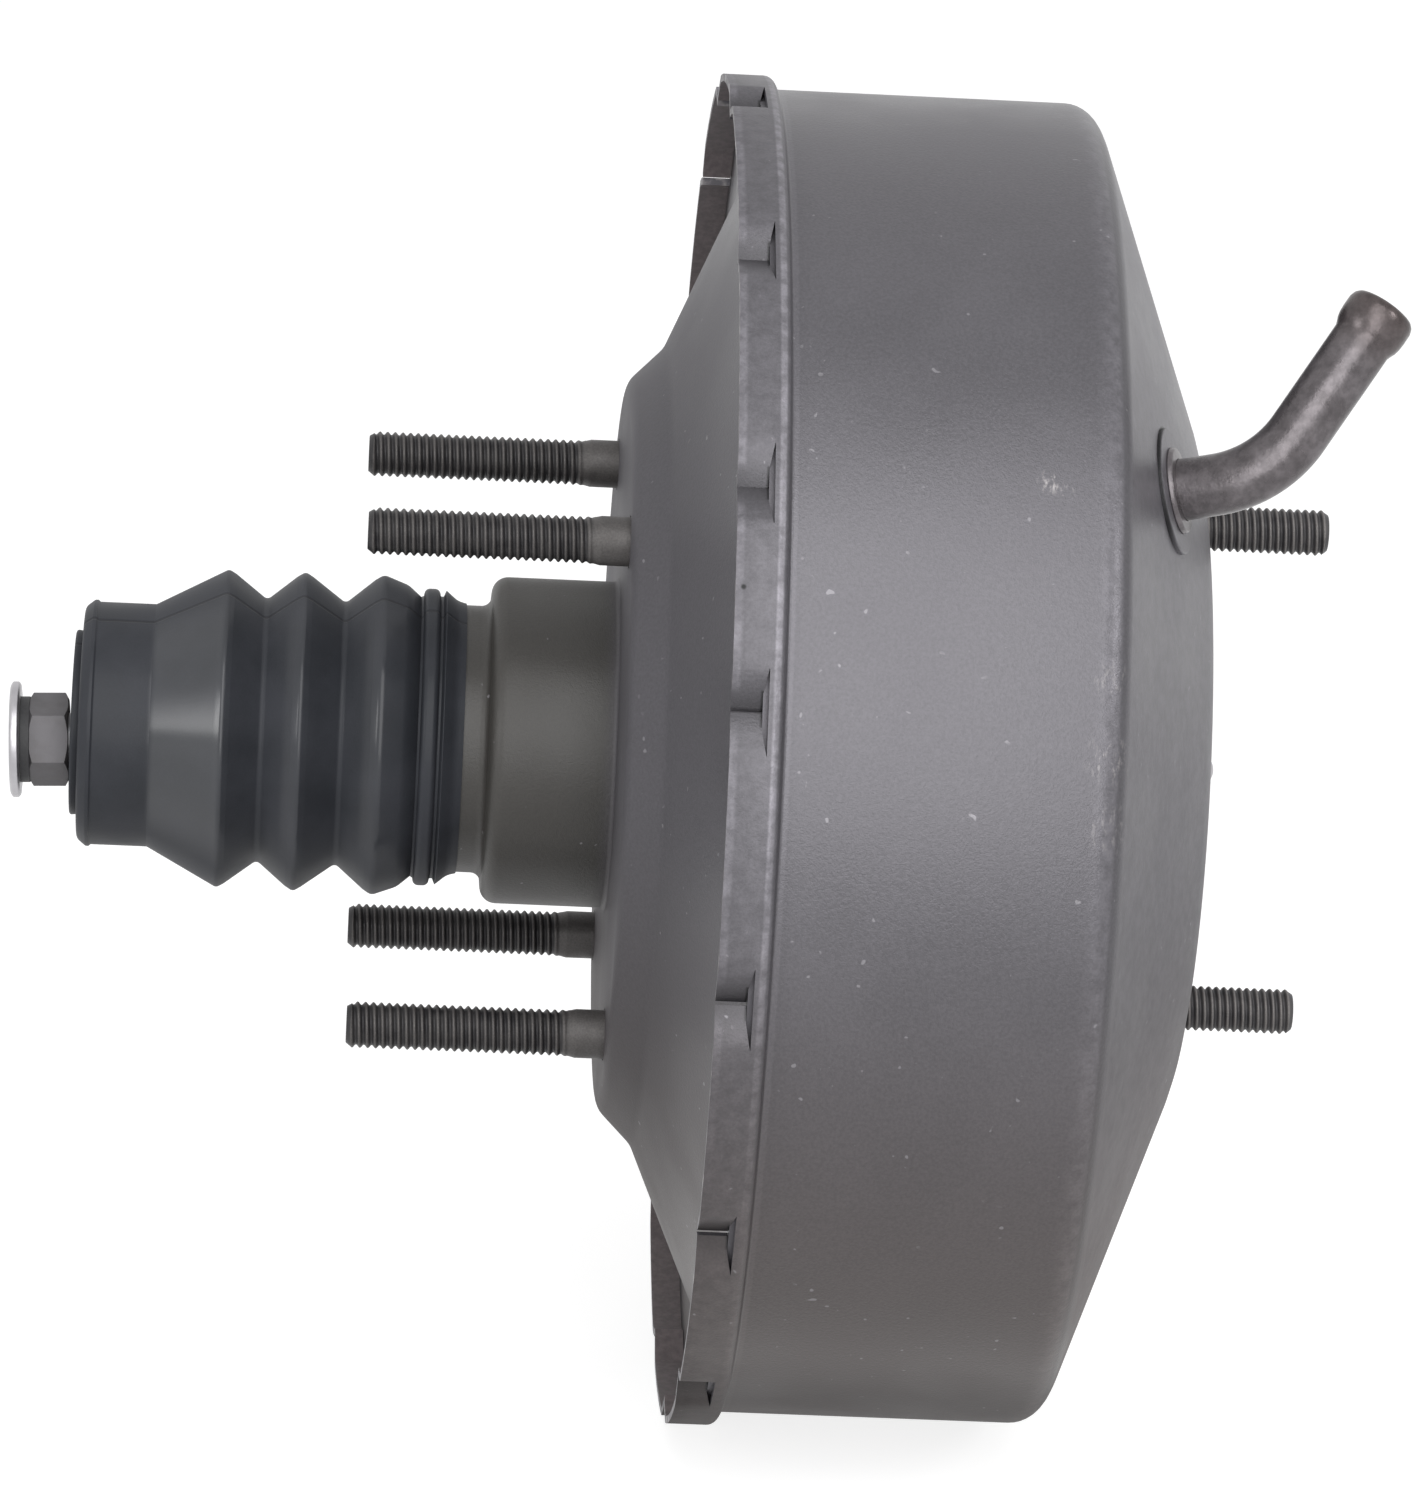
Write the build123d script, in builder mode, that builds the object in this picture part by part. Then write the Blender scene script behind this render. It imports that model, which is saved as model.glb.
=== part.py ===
from build123d import *
import math
import os

os.makedirs("parts", exist_ok=True)

# Vacuum brake booster with a single diaphragm, in millimetres.
# X runs along the booster towards the master cylinder and Z is up.
# The origin is the middle of the face that seats on the bulkhead.

# Pressed steel housing
sheet = 1.2
drum_radius = 106.4
drum_end = 71.4
drum_corner = 5.0
front_face = 91.3
front_face_radius = 53.2
front_blend = 25.0
rim_step = 2.15
rim_start = 13.1
rim_end = 20.9
rim_corner = 1.3
groove_depth = 0.5
groove_width = 0.8
pocket_radius = 17.0
pocket_depth = 12.0
pocket_corner = 1.2
front_seal_hole = 8.2

# Rear shell, from the neck out to the flange that the rim holds
face_margin = 8.5
face_corner = 4.0
shoulder_x = 5.8
shoulder_step = 5.8
shoulder_blend = 5.0
gutter_depth = 4.7
gutter_width = 14.4
gutter_blend = 2.5
neck_radius = 26.3
neck_length = 20.2
neck_corner = 1.6
nose_step = 4.8
nose_length = 11.3
flange_gap = 0.45

# Lances in the rim, each a pair of tongues pressed in behind the flange, some unevenly spaced
lance_angles = [95.5, 122.0, 144.8, 163.3, 187.1, 210.0, 234.5]
lance_pitch = 22.1
lance_repeats = 9
lance_width = 13.0
lance_depth = 2.1
lance_step = 0.5
lance_slit = 0.3
lance_slot = 0.8

# Studs, the plates inside the shells that hold them, and their spacings
stud_radius = 4.0
stud_shank_radius = 4.1
stud_chamfer = 0.9
stud_head_radius = 5.8
stud_head_height = 1.6
stud_hole_gap = 0.1
rear_spacing_y = 60.0
rear_spacing_z = 80.0
rear_stud_length = 40.8
front_spacing = 80.0
front_stud_length = 22.0
plate_thickness = 2.5
rear_plate_play = 1.7
rear_plate_margin = 2.2
front_plate_inner = 20.0
front_plate_margin = 5.2

# Vacuum nipple, on the cone of the front shell
nipple_radius = 4.75
nipple_bore = 3.5
nipple_inset = 27.2
nipple_angle = 46.0
nipple_first_run = 15.0
nipple_last_run = 32.0
nipple_bend = 17.0
nipple_tip_way = Vector(0.54, 0.32, 0.778)
nipple_inside = 3.0
nipple_bead_radius = 5.5
nipple_bead_length = 3.2
nipple_flange_radius = 6.8
nipple_flange_height = 0.9
nipple_pad_radius = 9.8
nipple_pad_height = 0.6

# Power piston: valve body, diaphragm plate and diaphragm
piston_gap = 0.5
seal_section = 7.4
body_reach = 51.7
body_wall = 3.5
boss_step = 2.5
boss_front = 24.0
collar_step = 5.5
collar_height = 3.0
piston_plate = 1.6
piston_plate_margin = 1.5
piston_plate_lift = 4.33
piston_plate_rim = 8.5
ring_width = 4.0
ring_height = 1.2
rubber = 1.8
roll_gap = 17.2
roll_reach = 12.0
bead_height = 3.6
bead_width = 3.8
press_gap = 0.1

# Return spring between the piston plate and the front plate
spring_radius = 31.0
spring_wire = 2.0
spring_turns = 5.5
coil_steps = 12
coil_sides = 8

# Control valve in the valve body
ball_x = -18.0
ball_radius = 4.3
socket_gap = 0.05
socket_lip = 3.7
lip_x = 3.2
lip_length = 1.8
plunger_radius = 6.0
plunger_rear = 13.4
plunger_seat_radius = 7.5
plunger_seat_height = 3.4
plunger_mouth = 5.2
plunger_neck = 4.0
valve_travel = 1.5
travel_margin = 0.2
fit_gap = 0.05
key_gap = 0.3
key_thickness = 2.0
key_width = 16.0
key_overhang = 3.0
key_leg = 6.0
seat_ring_radius = 10.0
seat_ring_width = 1.0
seat_ring_height = 1.0
vacuum_gap = 0.4
valve_chamber = 9.0
valve_chamber_length = 6.0
poppet_shoulder = 1.5
poppet_depth = 15.0
poppet_hole = 6.6
poppet_disc = 2.1
poppet_wall = 1.2
poppet_bead = 2.0
retainer_sheet = 0.8
poppet_spring_wire = 0.45
poppet_spring_turns = 4.0
reaction_radius = 10.0
reaction_height = 4.0
reaction_recess_gap = 0.3
recess_depth = 14.5

# Input rod, its coupling nut and the spring that returns it
droop = 2.4
rod_radius = 4.2
rod_neck = 2.6
rod_neck_length = 8.0
rod_taper_end = 13.0
rod_grip = 4.2
rod_collar_place = 44.5
rod_collar_radius = 9.0
rod_collar_height = 1.5
rod_spring_radius = 8.4
rod_spring_wire = 0.7
rod_spring_turns = 5.0
rod_spring_gap = 0.5
nut_gap = 0.74
nut_height = 7.4
nut_flats = 14.0
nut_turn = 22.0
nut_flange_radius = 9.3
nut_flange_height = 1.9
nut_bore = 4.25
nut_chamfer = 0.6
rod_tip_radius = 3.4

# Output rod and its adjusting screw
output_radius = 5.0
output_head_height = 4.0
output_end = 88.0
screw_radius = 3.0
screw_depth = 14.0
screw_flats = 8.0
screw_hex_height = 3.0
tip_reach = 6.4
seal_gap = 0.1

# Seals and guide of the neck
rear_seal_length = 6.4
bush_length = 7.0
retainer_height = 1.0
lip_inset = 1.4
front_seal_outer = 10.5
front_seal_behind = 1.5
front_seal_before = 2.6

# Filter and silencer behind the control valve
filter_hole = 8.0
filter_length = 9.0
silencer_length = 4.5

# Dust boot
boot_wall = 1.5
boot_peak_rise = 7.8
boot_valley_rise = 3.5
boot_lead = 6.0
boot_pitch = 12.4
boot_folds = 3
boot_grip = 7.3
boot_lip_rise = 1.9
boot_bead_rise = 2.4
boot_bead_inset = 1.0
boot_tail_wall = 2.0
boot_tail_length = 9.3
boot_disc_inset = 4.7
boot_disc_height = 1.3
boot_gap = 0.2
boot_lip_length = 3.3
boot_groove_width = 0.8
boot_groove_depth = 0.6
boot_tail_corner = 1.0


def beside(points, distance):
    # Corner points of the line that runs at a distance to the left of another
    corners = [Vector(*point) for point in points]
    ways = [(b - a).normalized() for a, b in zip(corners, corners[1:])]
    lefts = [Vector(-way.Y, way.X) for way in ways]
    moved = [corners[0] + lefts[0] * distance]
    for corner, one, two in zip(corners[1:-1], lefts, lefts[1:]):
        moved.append(corner + (one + two) * (distance / (1 + one.dot(two))))
    moved.append(corners[-1] + lefts[-1] * distance)
    return [(point.X, point.Y) for point in moved]


def coil(radius, wire, turns, start, end):
    # Helical spring along X, bent in short straight steps, with both ends ground flat
    height = end - start - wire
    helix = Helix(height / turns, height, radius, center=(start + wire / 2, 0, 0), direction=(1, 0, 0))
    steps = round(turns * coil_steps)
    path = Polyline(*[helix @ (step / steps) for step in range(steps + 1)])
    with BuildPart() as spring:
        with BuildSketch(Plane(origin=path @ 0, z_dir=path % 0)):
            RegularPolygon(wire, coil_sides)
        sweep(path=path, transition=Transition.RIGHT)
        split(bisect_by=Plane.YZ.offset(start), keep=Keep.TOP)
        split(bisect_by=Plane.YZ.offset(end), keep=Keep.BOTTOM)
    return spring


# Places that follow from the sizes above
rim_radius = drum_radius + rim_step
rim_inner = rim_radius - sheet
drum_inner = drum_radius - sheet
cone_slope = math.atan2(front_face - drum_end, drum_radius - front_face_radius)
pocket_floor = front_face - pocket_depth
flange_x = rim_start + gutter_depth
flange_radius = rim_inner - flange_gap
face_radius = math.hypot(rear_spacing_y, rear_spacing_z) / 2 + face_margin
shoulder_radius = face_radius + shoulder_step
gutter_radius = drum_radius - gutter_width
rear_slope = (flange_x - shoulder_x) / (gutter_radius - shoulder_radius)
rear_plate_inner = neck_radius + rear_plate_play
rear_plate_outer = face_radius - rear_plate_margin
front_plate_outer = front_face_radius - front_plate_margin
nipple_place = drum_radius - nipple_inset
neck_inner = neck_radius - sheet
nose_radius = neck_radius - nose_step
nose_end = -neck_length - nose_length
rear_studs = [(y * rear_spacing_y / 2, z * rear_spacing_z / 2) for y in (-1, 1) for z in (-1, 1)]
front_studs = [(0, z * front_spacing / 2) for z in (-1, 1)]
rear_plate_x = sheet
rear_head_x = rear_plate_x + plate_thickness
front_plate_x = front_face - sheet - plate_thickness
front_head_x = front_plate_x - stud_head_height
body_radius = neck_inner - press_gap - seal_gap - seal_section
body_bore = body_radius - body_wall
body_rear = nose_end - body_reach
boss_radius = body_radius + boss_step
collar_radius = body_radius + collar_step
key_reach = collar_radius + key_overhang
ring_radius = boss_radius + ring_width
poppet_bore = body_bore - poppet_shoulder
piston_x = rear_head_x + stud_head_height + piston_gap
plate_x = piston_x + rubber + press_gap
ring_x = plate_x + piston_plate + press_gap
piston_plate_radius = drum_inner - roll_gap
boot_end = body_rear - boot_tail_wall
nut_start = (ball_x - boot_end + boot_disc_height) / math.cos(math.radians(droop)) + nut_gap
rod_length = nut_start + rod_grip
cone_end_x = shoulder_x + (piston_plate_radius - shoulder_radius) * rear_slope + piston_plate_lift

# Rear shell: mounting face, cone, gutter and the deep drawn neck
with BuildPart() as rear_shell:
    with BuildSketch(Plane.XY):
        with BuildLine():
            FilletPolyline(
                (nose_end, nose_radius),
                (-neck_length, nose_radius),
                (-neck_length, neck_radius - neck_corner),
                (-neck_length + neck_corner, neck_radius),
                (0, neck_radius),
                (0, face_radius),
                (shoulder_x, shoulder_radius),
                (flange_x, gutter_radius),
                (flange_x, flange_radius),
                radius=[0, 0, 0, 0, face_corner, shoulder_blend, gutter_blend],
            )
            offset(amount=sheet, side=Side.RIGHT, kind=Kind.INTERSECTION)
        make_face()
    revolve(axis=Axis.X)
    with BuildSketch(Plane.YZ):
        with Locations(*rear_studs):
            Circle(stud_shank_radius + stud_hole_gap)
    extrude(amount=sheet, mode=Mode.SUBTRACT)
rear_shell.part.label = "rear_shell"
export_step(rear_shell.part, "parts/rear_shell.step")

# Place and way of the vacuum nipple on the cone
nipple_x = drum_end + (drum_radius - nipple_place) * math.tan(cone_slope)
nipple_y = -nipple_place * math.cos(math.radians(nipple_angle))
nipple_z = nipple_place * math.sin(math.radians(nipple_angle))
nipple_base = Vector(nipple_x, nipple_y, nipple_z)
nipple_way = Vector(
    math.cos(cone_slope),
    math.sin(cone_slope) * nipple_y / nipple_place,
    math.sin(cone_slope) * nipple_z / nipple_place,
)
nipple_plane = Plane(origin=nipple_base, z_dir=nipple_way)

# Front shell: open rim, drum, cone, front face and the pocket for the master cylinder
tongue_end = flange_x
slot_end = tongue_end + lance_slot
lance_sag = rim_radius - math.sqrt(rim_radius**2 - (lance_width / 2) ** 2)
lances = lance_angles + [lance_angles[-1] + (step + 1) * lance_pitch for step in range(lance_repeats)]
with BuildPart() as front_shell:
    with BuildSketch(Plane.XY):
        with BuildLine():
            FilletPolyline(
                (rim_start, rim_radius),
                (rim_end - rim_corner, rim_radius),
                (rim_end, rim_radius - rim_corner),
                (rim_end, drum_radius),
                (drum_end, drum_radius),
                (front_face, front_face_radius),
                (front_face, pocket_radius + pocket_corner),
                (front_face - pocket_corner, pocket_radius),
                (pocket_floor, pocket_radius),
                (pocket_floor, front_seal_hole),
                radius=[0, 0, 0, drum_corner, front_blend, 0, 0, 0],
            )
            offset(amount=sheet, side=Side.RIGHT, kind=Kind.INTERSECTION)
        make_face()
    revolve(axis=Axis.X)
    # Shallow groove where the rim steps down to the drum
    with BuildSketch(Plane.XY):
        with Locations((rim_end + groove_width / 2, drum_radius)):
            Rectangle(groove_width, 2 * groove_depth)
    revolve(axis=Axis.X, mode=Mode.SUBTRACT)
    with BuildSketch(Plane.YZ.offset(front_face)):
        with Locations(*front_studs):
            Circle(stud_shank_radius + stud_hole_gap)
    extrude(amount=-sheet, mode=Mode.SUBTRACT)
    # Flat pad and hole for the nipple
    with BuildSketch(nipple_plane.offset(-sheet)):
        Circle(nipple_pad_radius)
    extrude(amount=sheet + nipple_pad_height)
    with BuildSketch(nipple_plane.offset(-2 * sheet)):
        Circle(nipple_radius + press_gap)
    extrude(amount=4 * sheet, mode=Mode.SUBTRACT)
    # Window in the rim at each lance, then its two tongues, which slope in to the shear between them
    with BuildSketch(Plane.YZ.offset(rim_start)):
        for angle in lances:
            with PolarLocations(rim_radius, 1, start_angle=angle):
                Rectangle(4 * sheet, lance_width)
    extrude(amount=slot_end - rim_start, mode=Mode.SUBTRACT)
    with BuildSketch(Plane.YZ.offset(rim_start)):
        for angle in lances:
            with PolarLocations(rim_radius, 1, start_angle=angle):
                for side, depth in ((1, lance_depth), (-1, lance_depth - lance_step)):
                    Polygon(
                        (-lance_sag, side * lance_width / 2),
                        (-depth, side * lance_slit / 2),
                        (-depth - sheet, side * lance_slit / 2),
                        (-lance_sag - sheet, side * lance_width / 2),
                        align=None,
                    )
    extrude(amount=tongue_end - rim_start)
front_shell.part.label = "front_shell"
export_step(front_shell.part, "parts/front_shell.step")

# Plates inside the shells that carry the studs
with BuildPart() as rear_stud_plate:
    with BuildSketch(Plane.YZ.offset(rear_plate_x)):
        Circle(rear_plate_outer)
        Circle(rear_plate_inner, mode=Mode.SUBTRACT)
        with Locations(*rear_studs):
            Circle(stud_shank_radius + stud_hole_gap, mode=Mode.SUBTRACT)
    extrude(amount=plate_thickness)
rear_stud_plate.part.label = "rear_stud_plate"
export_step(rear_stud_plate.part, "parts/rear_stud_plate.step")

with BuildPart() as front_stud_plate:
    with BuildSketch(Plane.YZ.offset(front_plate_x)):
        Circle(front_plate_outer)
        Circle(front_plate_inner, mode=Mode.SUBTRACT)
        with Locations(*front_studs):
            Circle(stud_shank_radius + stud_hole_gap, mode=Mode.SUBTRACT)
    extrude(amount=plate_thickness)
front_stud_plate.part.label = "front_stud_plate"
export_step(front_stud_plate.part, "parts/front_stud_plate.step")

# Bulkhead studs: head on the plate, shank through the shell, then the threaded length
with BuildPart() as bulkhead_studs:
    with BuildSketch(Plane.YZ.offset(rear_head_x)):
        with Locations(*rear_studs):
            Circle(stud_head_radius)
    extrude(amount=stud_head_height)
    with BuildSketch(Plane.YZ.offset(rear_head_x)):
        with Locations(*rear_studs):
            Circle(stud_shank_radius)
    extrude(amount=-rear_head_x)
    with BuildSketch(Plane.YZ):
        with Locations(*rear_studs):
            Circle(stud_radius)
    extrude(amount=-rear_stud_length)
    chamfer(bulkhead_studs.faces().sort_by(Axis.X)[:4].edges(), stud_chamfer)
bulkhead_studs.part.label = "bulkhead_studs"
export_step(bulkhead_studs.part, "parts/bulkhead_studs.step")

with BuildPart() as master_cylinder_studs:
    with BuildSketch(Plane.YZ.offset(front_head_x)):
        with Locations(*front_studs):
            Circle(stud_head_radius)
    extrude(amount=stud_head_height)
    with BuildSketch(Plane.YZ.offset(front_plate_x)):
        with Locations(*front_studs):
            Circle(stud_shank_radius)
    extrude(amount=front_face - front_plate_x)
    with BuildSketch(Plane.YZ.offset(front_face)):
        with Locations(*front_studs):
            Circle(stud_radius)
    extrude(amount=front_stud_length)
    chamfer(master_cylinder_studs.faces().sort_by(Axis.X)[-2:].edges(), stud_chamfer)
master_cylinder_studs.part.label = "master_cylinder_studs"
export_step(master_cylinder_studs.part, "parts/master_cylinder_studs.step")

# Vacuum nipple: bent tube with a seating flange and a hose bead
tip_way = nipple_tip_way.normalized()
nipple_corner = nipple_base + nipple_way * nipple_first_run
nipple_tip = nipple_corner + tip_way * nipple_last_run
tip_side = tip_way.cross(nipple_way).normalized()
with BuildPart() as vacuum_nipple:
    with BuildLine() as nipple_path:
        FilletPolyline(
            nipple_base - nipple_way * nipple_inside,
            nipple_corner,
            nipple_tip,
            radius=nipple_bend,
        )
    with BuildSketch(nipple_plane.offset(-nipple_inside)):
        Circle(nipple_radius)
    sweep(path=nipple_path.line)
    with BuildSketch(nipple_plane.offset(nipple_pad_height)):
        Circle(nipple_flange_radius)
    extrude(amount=nipple_flange_height)
    with BuildSketch(Plane(origin=nipple_tip, x_dir=tip_way, z_dir=tip_side)):
        with BuildLine():
            FilletPolyline(
                (0, 0),
                (0, nipple_bead_radius),
                (-nipple_bead_length, nipple_bead_radius),
                (-nipple_bead_length - nipple_bead_radius / 2, nipple_radius - press_gap),
                (-nipple_bead_length - nipple_bead_radius / 2, 0),
                radius=[1.2, nipple_bead_radius, 0],
            )
            Line((-nipple_bead_length - nipple_bead_radius / 2, 0), (0, 0))
        make_face()
    revolve(axis=Axis(nipple_tip, tip_way))
    with BuildSketch(nipple_plane.offset(-nipple_inside)):
        Circle(nipple_bore)
    sweep(path=nipple_path.line, mode=Mode.SUBTRACT)
vacuum_nipple.part.label = "vacuum_nipple"
export_step(vacuum_nipple.part, "parts/vacuum_nipple.step")

# Seal, guide bush and retainer pressed into the neck around the valve body
seal_outer = neck_inner - press_gap
seal_inner = body_radius + seal_gap
rear_seal_x = -neck_length + sheet + 2 * press_gap
bush_x = rear_seal_x + rear_seal_length + press_gap
retainer_x = bush_x + bush_length + press_gap
with BuildPart() as rear_seal:
    with BuildSketch(Plane.XY):
        with BuildLine():
            Polyline(
                (rear_seal_x, seal_inner + lip_inset),
                (rear_seal_x, seal_outer - neck_corner),
                (rear_seal_x + neck_corner, seal_outer),
                (rear_seal_x + rear_seal_length, seal_outer),
                (rear_seal_x + rear_seal_length, seal_inner + 2 * lip_inset),
                (rear_seal_x + rear_seal_length / 2, seal_inner + 2 * lip_inset),
                (rear_seal_x + rear_seal_length - lip_inset, seal_inner),
                (rear_seal_x + rear_seal_length / 2, seal_inner),
                close=True,
            )
        make_face()
    revolve(axis=Axis.X)
rear_seal.part.label = "rear_seal"
export_step(rear_seal.part, "parts/rear_seal.step")

with BuildPart() as guide_bush:
    with BuildSketch(Plane.YZ.offset(bush_x)):
        Circle(seal_outer)
        Circle(seal_inner, mode=Mode.SUBTRACT)
    extrude(amount=bush_length)
    chamfer(guide_bush.edges().filter_by(GeomType.CIRCLE).sort_by(SortBy.RADIUS)[:2], 1)
guide_bush.part.label = "guide_bush"
export_step(guide_bush.part, "parts/guide_bush.step")

with BuildPart() as seal_retainer:
    with BuildSketch(Plane.YZ.offset(retainer_x)):
        Circle(seal_outer)
        Circle(seal_inner + lip_inset, mode=Mode.SUBTRACT)
    extrude(amount=retainer_height)
seal_retainer.part.label = "seal_retainer"
export_step(seal_retainer.part, "parts/seal_retainer.step")

# Front seal, a grommet clipped in the floor of the pocket
with BuildPart() as front_seal:
    seal_rear = pocket_floor - sheet - front_seal_behind
    seal_front = pocket_floor + front_seal_before
    with BuildSketch(Plane.XY):
        with BuildLine():
            Polyline(
                (seal_rear, output_radius + seal_gap),
                (seal_rear, front_seal_outer),
                (pocket_floor - sheet - press_gap, front_seal_outer),
                (pocket_floor - sheet - press_gap, front_seal_hole - press_gap),
                (pocket_floor + press_gap, front_seal_hole - press_gap),
                (pocket_floor + press_gap, front_seal_outer),
                (seal_front, front_seal_hole),
                (seal_front, output_radius + seal_gap),
                close=True,
            )
        make_face()
    revolve(axis=Axis.X)
front_seal.part.label = "front_seal"
export_step(front_seal.part, "parts/front_seal.step")

# Places inside the valve body, counted from the ball of the input rod
plunger_rear_x = ball_x - plunger_rear
vacuum_seat_x = plunger_rear_x + vacuum_gap
poppet_floor = vacuum_seat_x + seat_ring_height
poppet_step = poppet_floor - poppet_depth
chamber_end = poppet_floor + valve_chamber_length
recess_x = boss_front - recess_depth
key_x = sheet + key_gap
key_end = key_x + key_thickness
collar_x = piston_x - press_gap - collar_height

# Valve body: neck, collar and boss, bored for the control valve, with the slot for its key
with BuildPart() as valve_body:
    with BuildSketch(Plane.XY):
        with BuildLine():
            Polyline(
                (body_rear, body_bore),
                (body_rear, body_radius - 1),
                (body_rear + 1, body_radius),
                (collar_x, body_radius),
                (collar_x, collar_radius),
                (piston_x - press_gap, collar_radius),
                (piston_x - press_gap, boss_radius),
                (boss_front - 1, boss_radius),
                (boss_front, boss_radius - 1),
                (boss_front, reaction_radius + reaction_recess_gap),
                (recess_x, reaction_radius + reaction_recess_gap),
                (recess_x, plunger_radius + fit_gap),
                (chamber_end, plunger_radius + fit_gap),
                (chamber_end, valve_chamber),
                (poppet_floor, valve_chamber),
                (poppet_floor, seat_ring_radius - seat_ring_width / 2),
                (vacuum_seat_x, seat_ring_radius - seat_ring_width / 2),
                (vacuum_seat_x, seat_ring_radius + seat_ring_width / 2),
                (poppet_floor, seat_ring_radius + seat_ring_width / 2),
                (poppet_floor, poppet_bore),
                (poppet_step, poppet_bore),
                (poppet_step, body_bore),
                close=True,
            )
        make_face()
    revolve(axis=Axis.X)
    with BuildSketch(Plane.YZ.offset(key_x - press_gap)):
        with Locations((0, (collar_radius - key_leg) / 2)):
            Rectangle(key_width + 2 * press_gap, collar_radius + key_leg + 4 * press_gap)
    extrude(amount=key_thickness + 2 * press_gap, mode=Mode.SUBTRACT)
valve_body.part.label = "valve_body"
export_step(valve_body.part, "parts/valve_body.step")

# Plunger: socket for the ball, valve seat, groove for the key and the nose behind the disc
groove_rear = key_x - valve_travel - travel_margin
plunger_front = recess_x - valve_travel - travel_margin
with BuildPart() as plunger:
    with BuildSketch(Plane.XY):
        with BuildLine():
            Polyline(
                (plunger_rear_x, plunger_mouth),
                (plunger_rear_x, plunger_seat_radius),
                (plunger_rear_x + plunger_seat_height, plunger_seat_radius),
                (plunger_rear_x + plunger_seat_height, plunger_radius),
                (groove_rear, plunger_radius),
                (groove_rear, plunger_neck),
                (key_end + press_gap, plunger_neck),
                (key_end + press_gap, plunger_radius),
                (plunger_front, plunger_radius),
                (plunger_front, 0),
                (ball_x + ball_radius + socket_gap, 0),
            )
            RadiusArc(
                (ball_x + ball_radius + socket_gap, 0),
                (ball_x, ball_radius + socket_gap),
                -(ball_radius + socket_gap),
            )
            Polyline(
                (ball_x, ball_radius + socket_gap),
                (ball_x - lip_x, ball_radius + socket_gap),
                (ball_x - lip_x, socket_lip),
                (ball_x - lip_x - lip_length, socket_lip),
                (plunger_rear_x, plunger_mouth),
            )
        make_face()
    revolve(axis=Axis.X)
plunger.part.label = "plunger"
export_step(plunger.part, "parts/plunger.step")

# Forked key that limits the plunger and stops the piston on the rear shell
with BuildPart() as stop_key:
    with BuildSketch(Plane.YZ.offset(key_x)):
        with Locations((0, (key_reach - key_leg) / 2)):
            Rectangle(key_width, key_reach + key_leg)
        Circle(plunger_neck + press_gap, mode=Mode.SUBTRACT)
        with Locations((0, -key_leg / 2)):
            Rectangle(2 * (plunger_neck + press_gap), key_leg, mode=Mode.SUBTRACT)
    extrude(amount=key_thickness)
    fillet(stop_key.edges().filter_by(Axis.X).group_by(Axis.Z)[-1], key_leg / 2)
stop_key.part.label = "stop_key"
export_step(stop_key.part, "parts/stop_key.step")

# Poppet, the rubber valve that closes on both seats, with its retainer and spring
poppet_face = plunger_rear_x - press_gap
poppet_back = poppet_face - poppet_disc
poppet_outer = poppet_bore - 4 * press_gap
poppet_tail = poppet_step + press_gap
with BuildPart() as poppet:
    with BuildSketch(Plane.XY):
        with BuildLine():
            Polyline(
                (poppet_face, poppet_hole),
                (poppet_face, poppet_outer),
                (poppet_back - poppet_wall, poppet_outer),
                (poppet_back - 2 * poppet_wall, poppet_outer - poppet_wall / 2),
                (poppet_tail + poppet_bead + poppet_wall, poppet_outer - poppet_wall / 2),
                (poppet_tail + poppet_bead, poppet_outer),
                (poppet_tail, poppet_outer),
                (poppet_tail, poppet_outer - 1.5 * poppet_wall),
                (poppet_back, poppet_outer - 1.5 * poppet_wall),
                (poppet_back, poppet_hole),
                close=True,
            )
        make_face()
    revolve(axis=Axis.X)
poppet.part.label = "poppet"
export_step(poppet.part, "parts/poppet.step")

retainer_outer = poppet_outer - 1.5 * poppet_wall - press_gap
retainer_flange = body_bore - press_gap
retainer_end = poppet_step - press_gap
retainer_tube = poppet_depth / 2
with BuildPart() as poppet_retainer:
    with BuildSketch(Plane.XY):
        with BuildLine():
            Polyline(
                (retainer_end - retainer_sheet, retainer_outer - retainer_sheet),
                (retainer_end - retainer_sheet, retainer_flange),
                (retainer_end, retainer_flange),
                (retainer_end, retainer_outer),
                (retainer_end + retainer_tube, retainer_outer),
                (retainer_end + retainer_tube, retainer_outer - retainer_sheet),
                close=True,
            )
        make_face()
    revolve(axis=Axis.X)
poppet_retainer.part.label = "poppet_retainer"
export_step(poppet_retainer.part, "parts/poppet_retainer.step")

poppet_spring = coil(
    retainer_outer - retainer_sheet / 2,
    poppet_spring_wire,
    poppet_spring_turns,
    retainer_end + retainer_tube + press_gap,
    poppet_back - press_gap,
)
poppet_spring.part.label = "poppet_spring"
export_step(poppet_spring.part, "parts/poppet_spring.step")

# Reaction disc and output rod in the recess of the boss
disc_x = recess_x
head_x = disc_x + reaction_height + press_gap
with BuildPart() as reaction_disc:
    with BuildSketch(Plane.YZ.offset(disc_x)):
        Circle(reaction_radius)
    extrude(amount=reaction_height)
    chamfer(reaction_disc.edges(), 0.5)
reaction_disc.part.label = "reaction_disc"
export_step(reaction_disc.part, "parts/reaction_disc.step")

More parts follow.
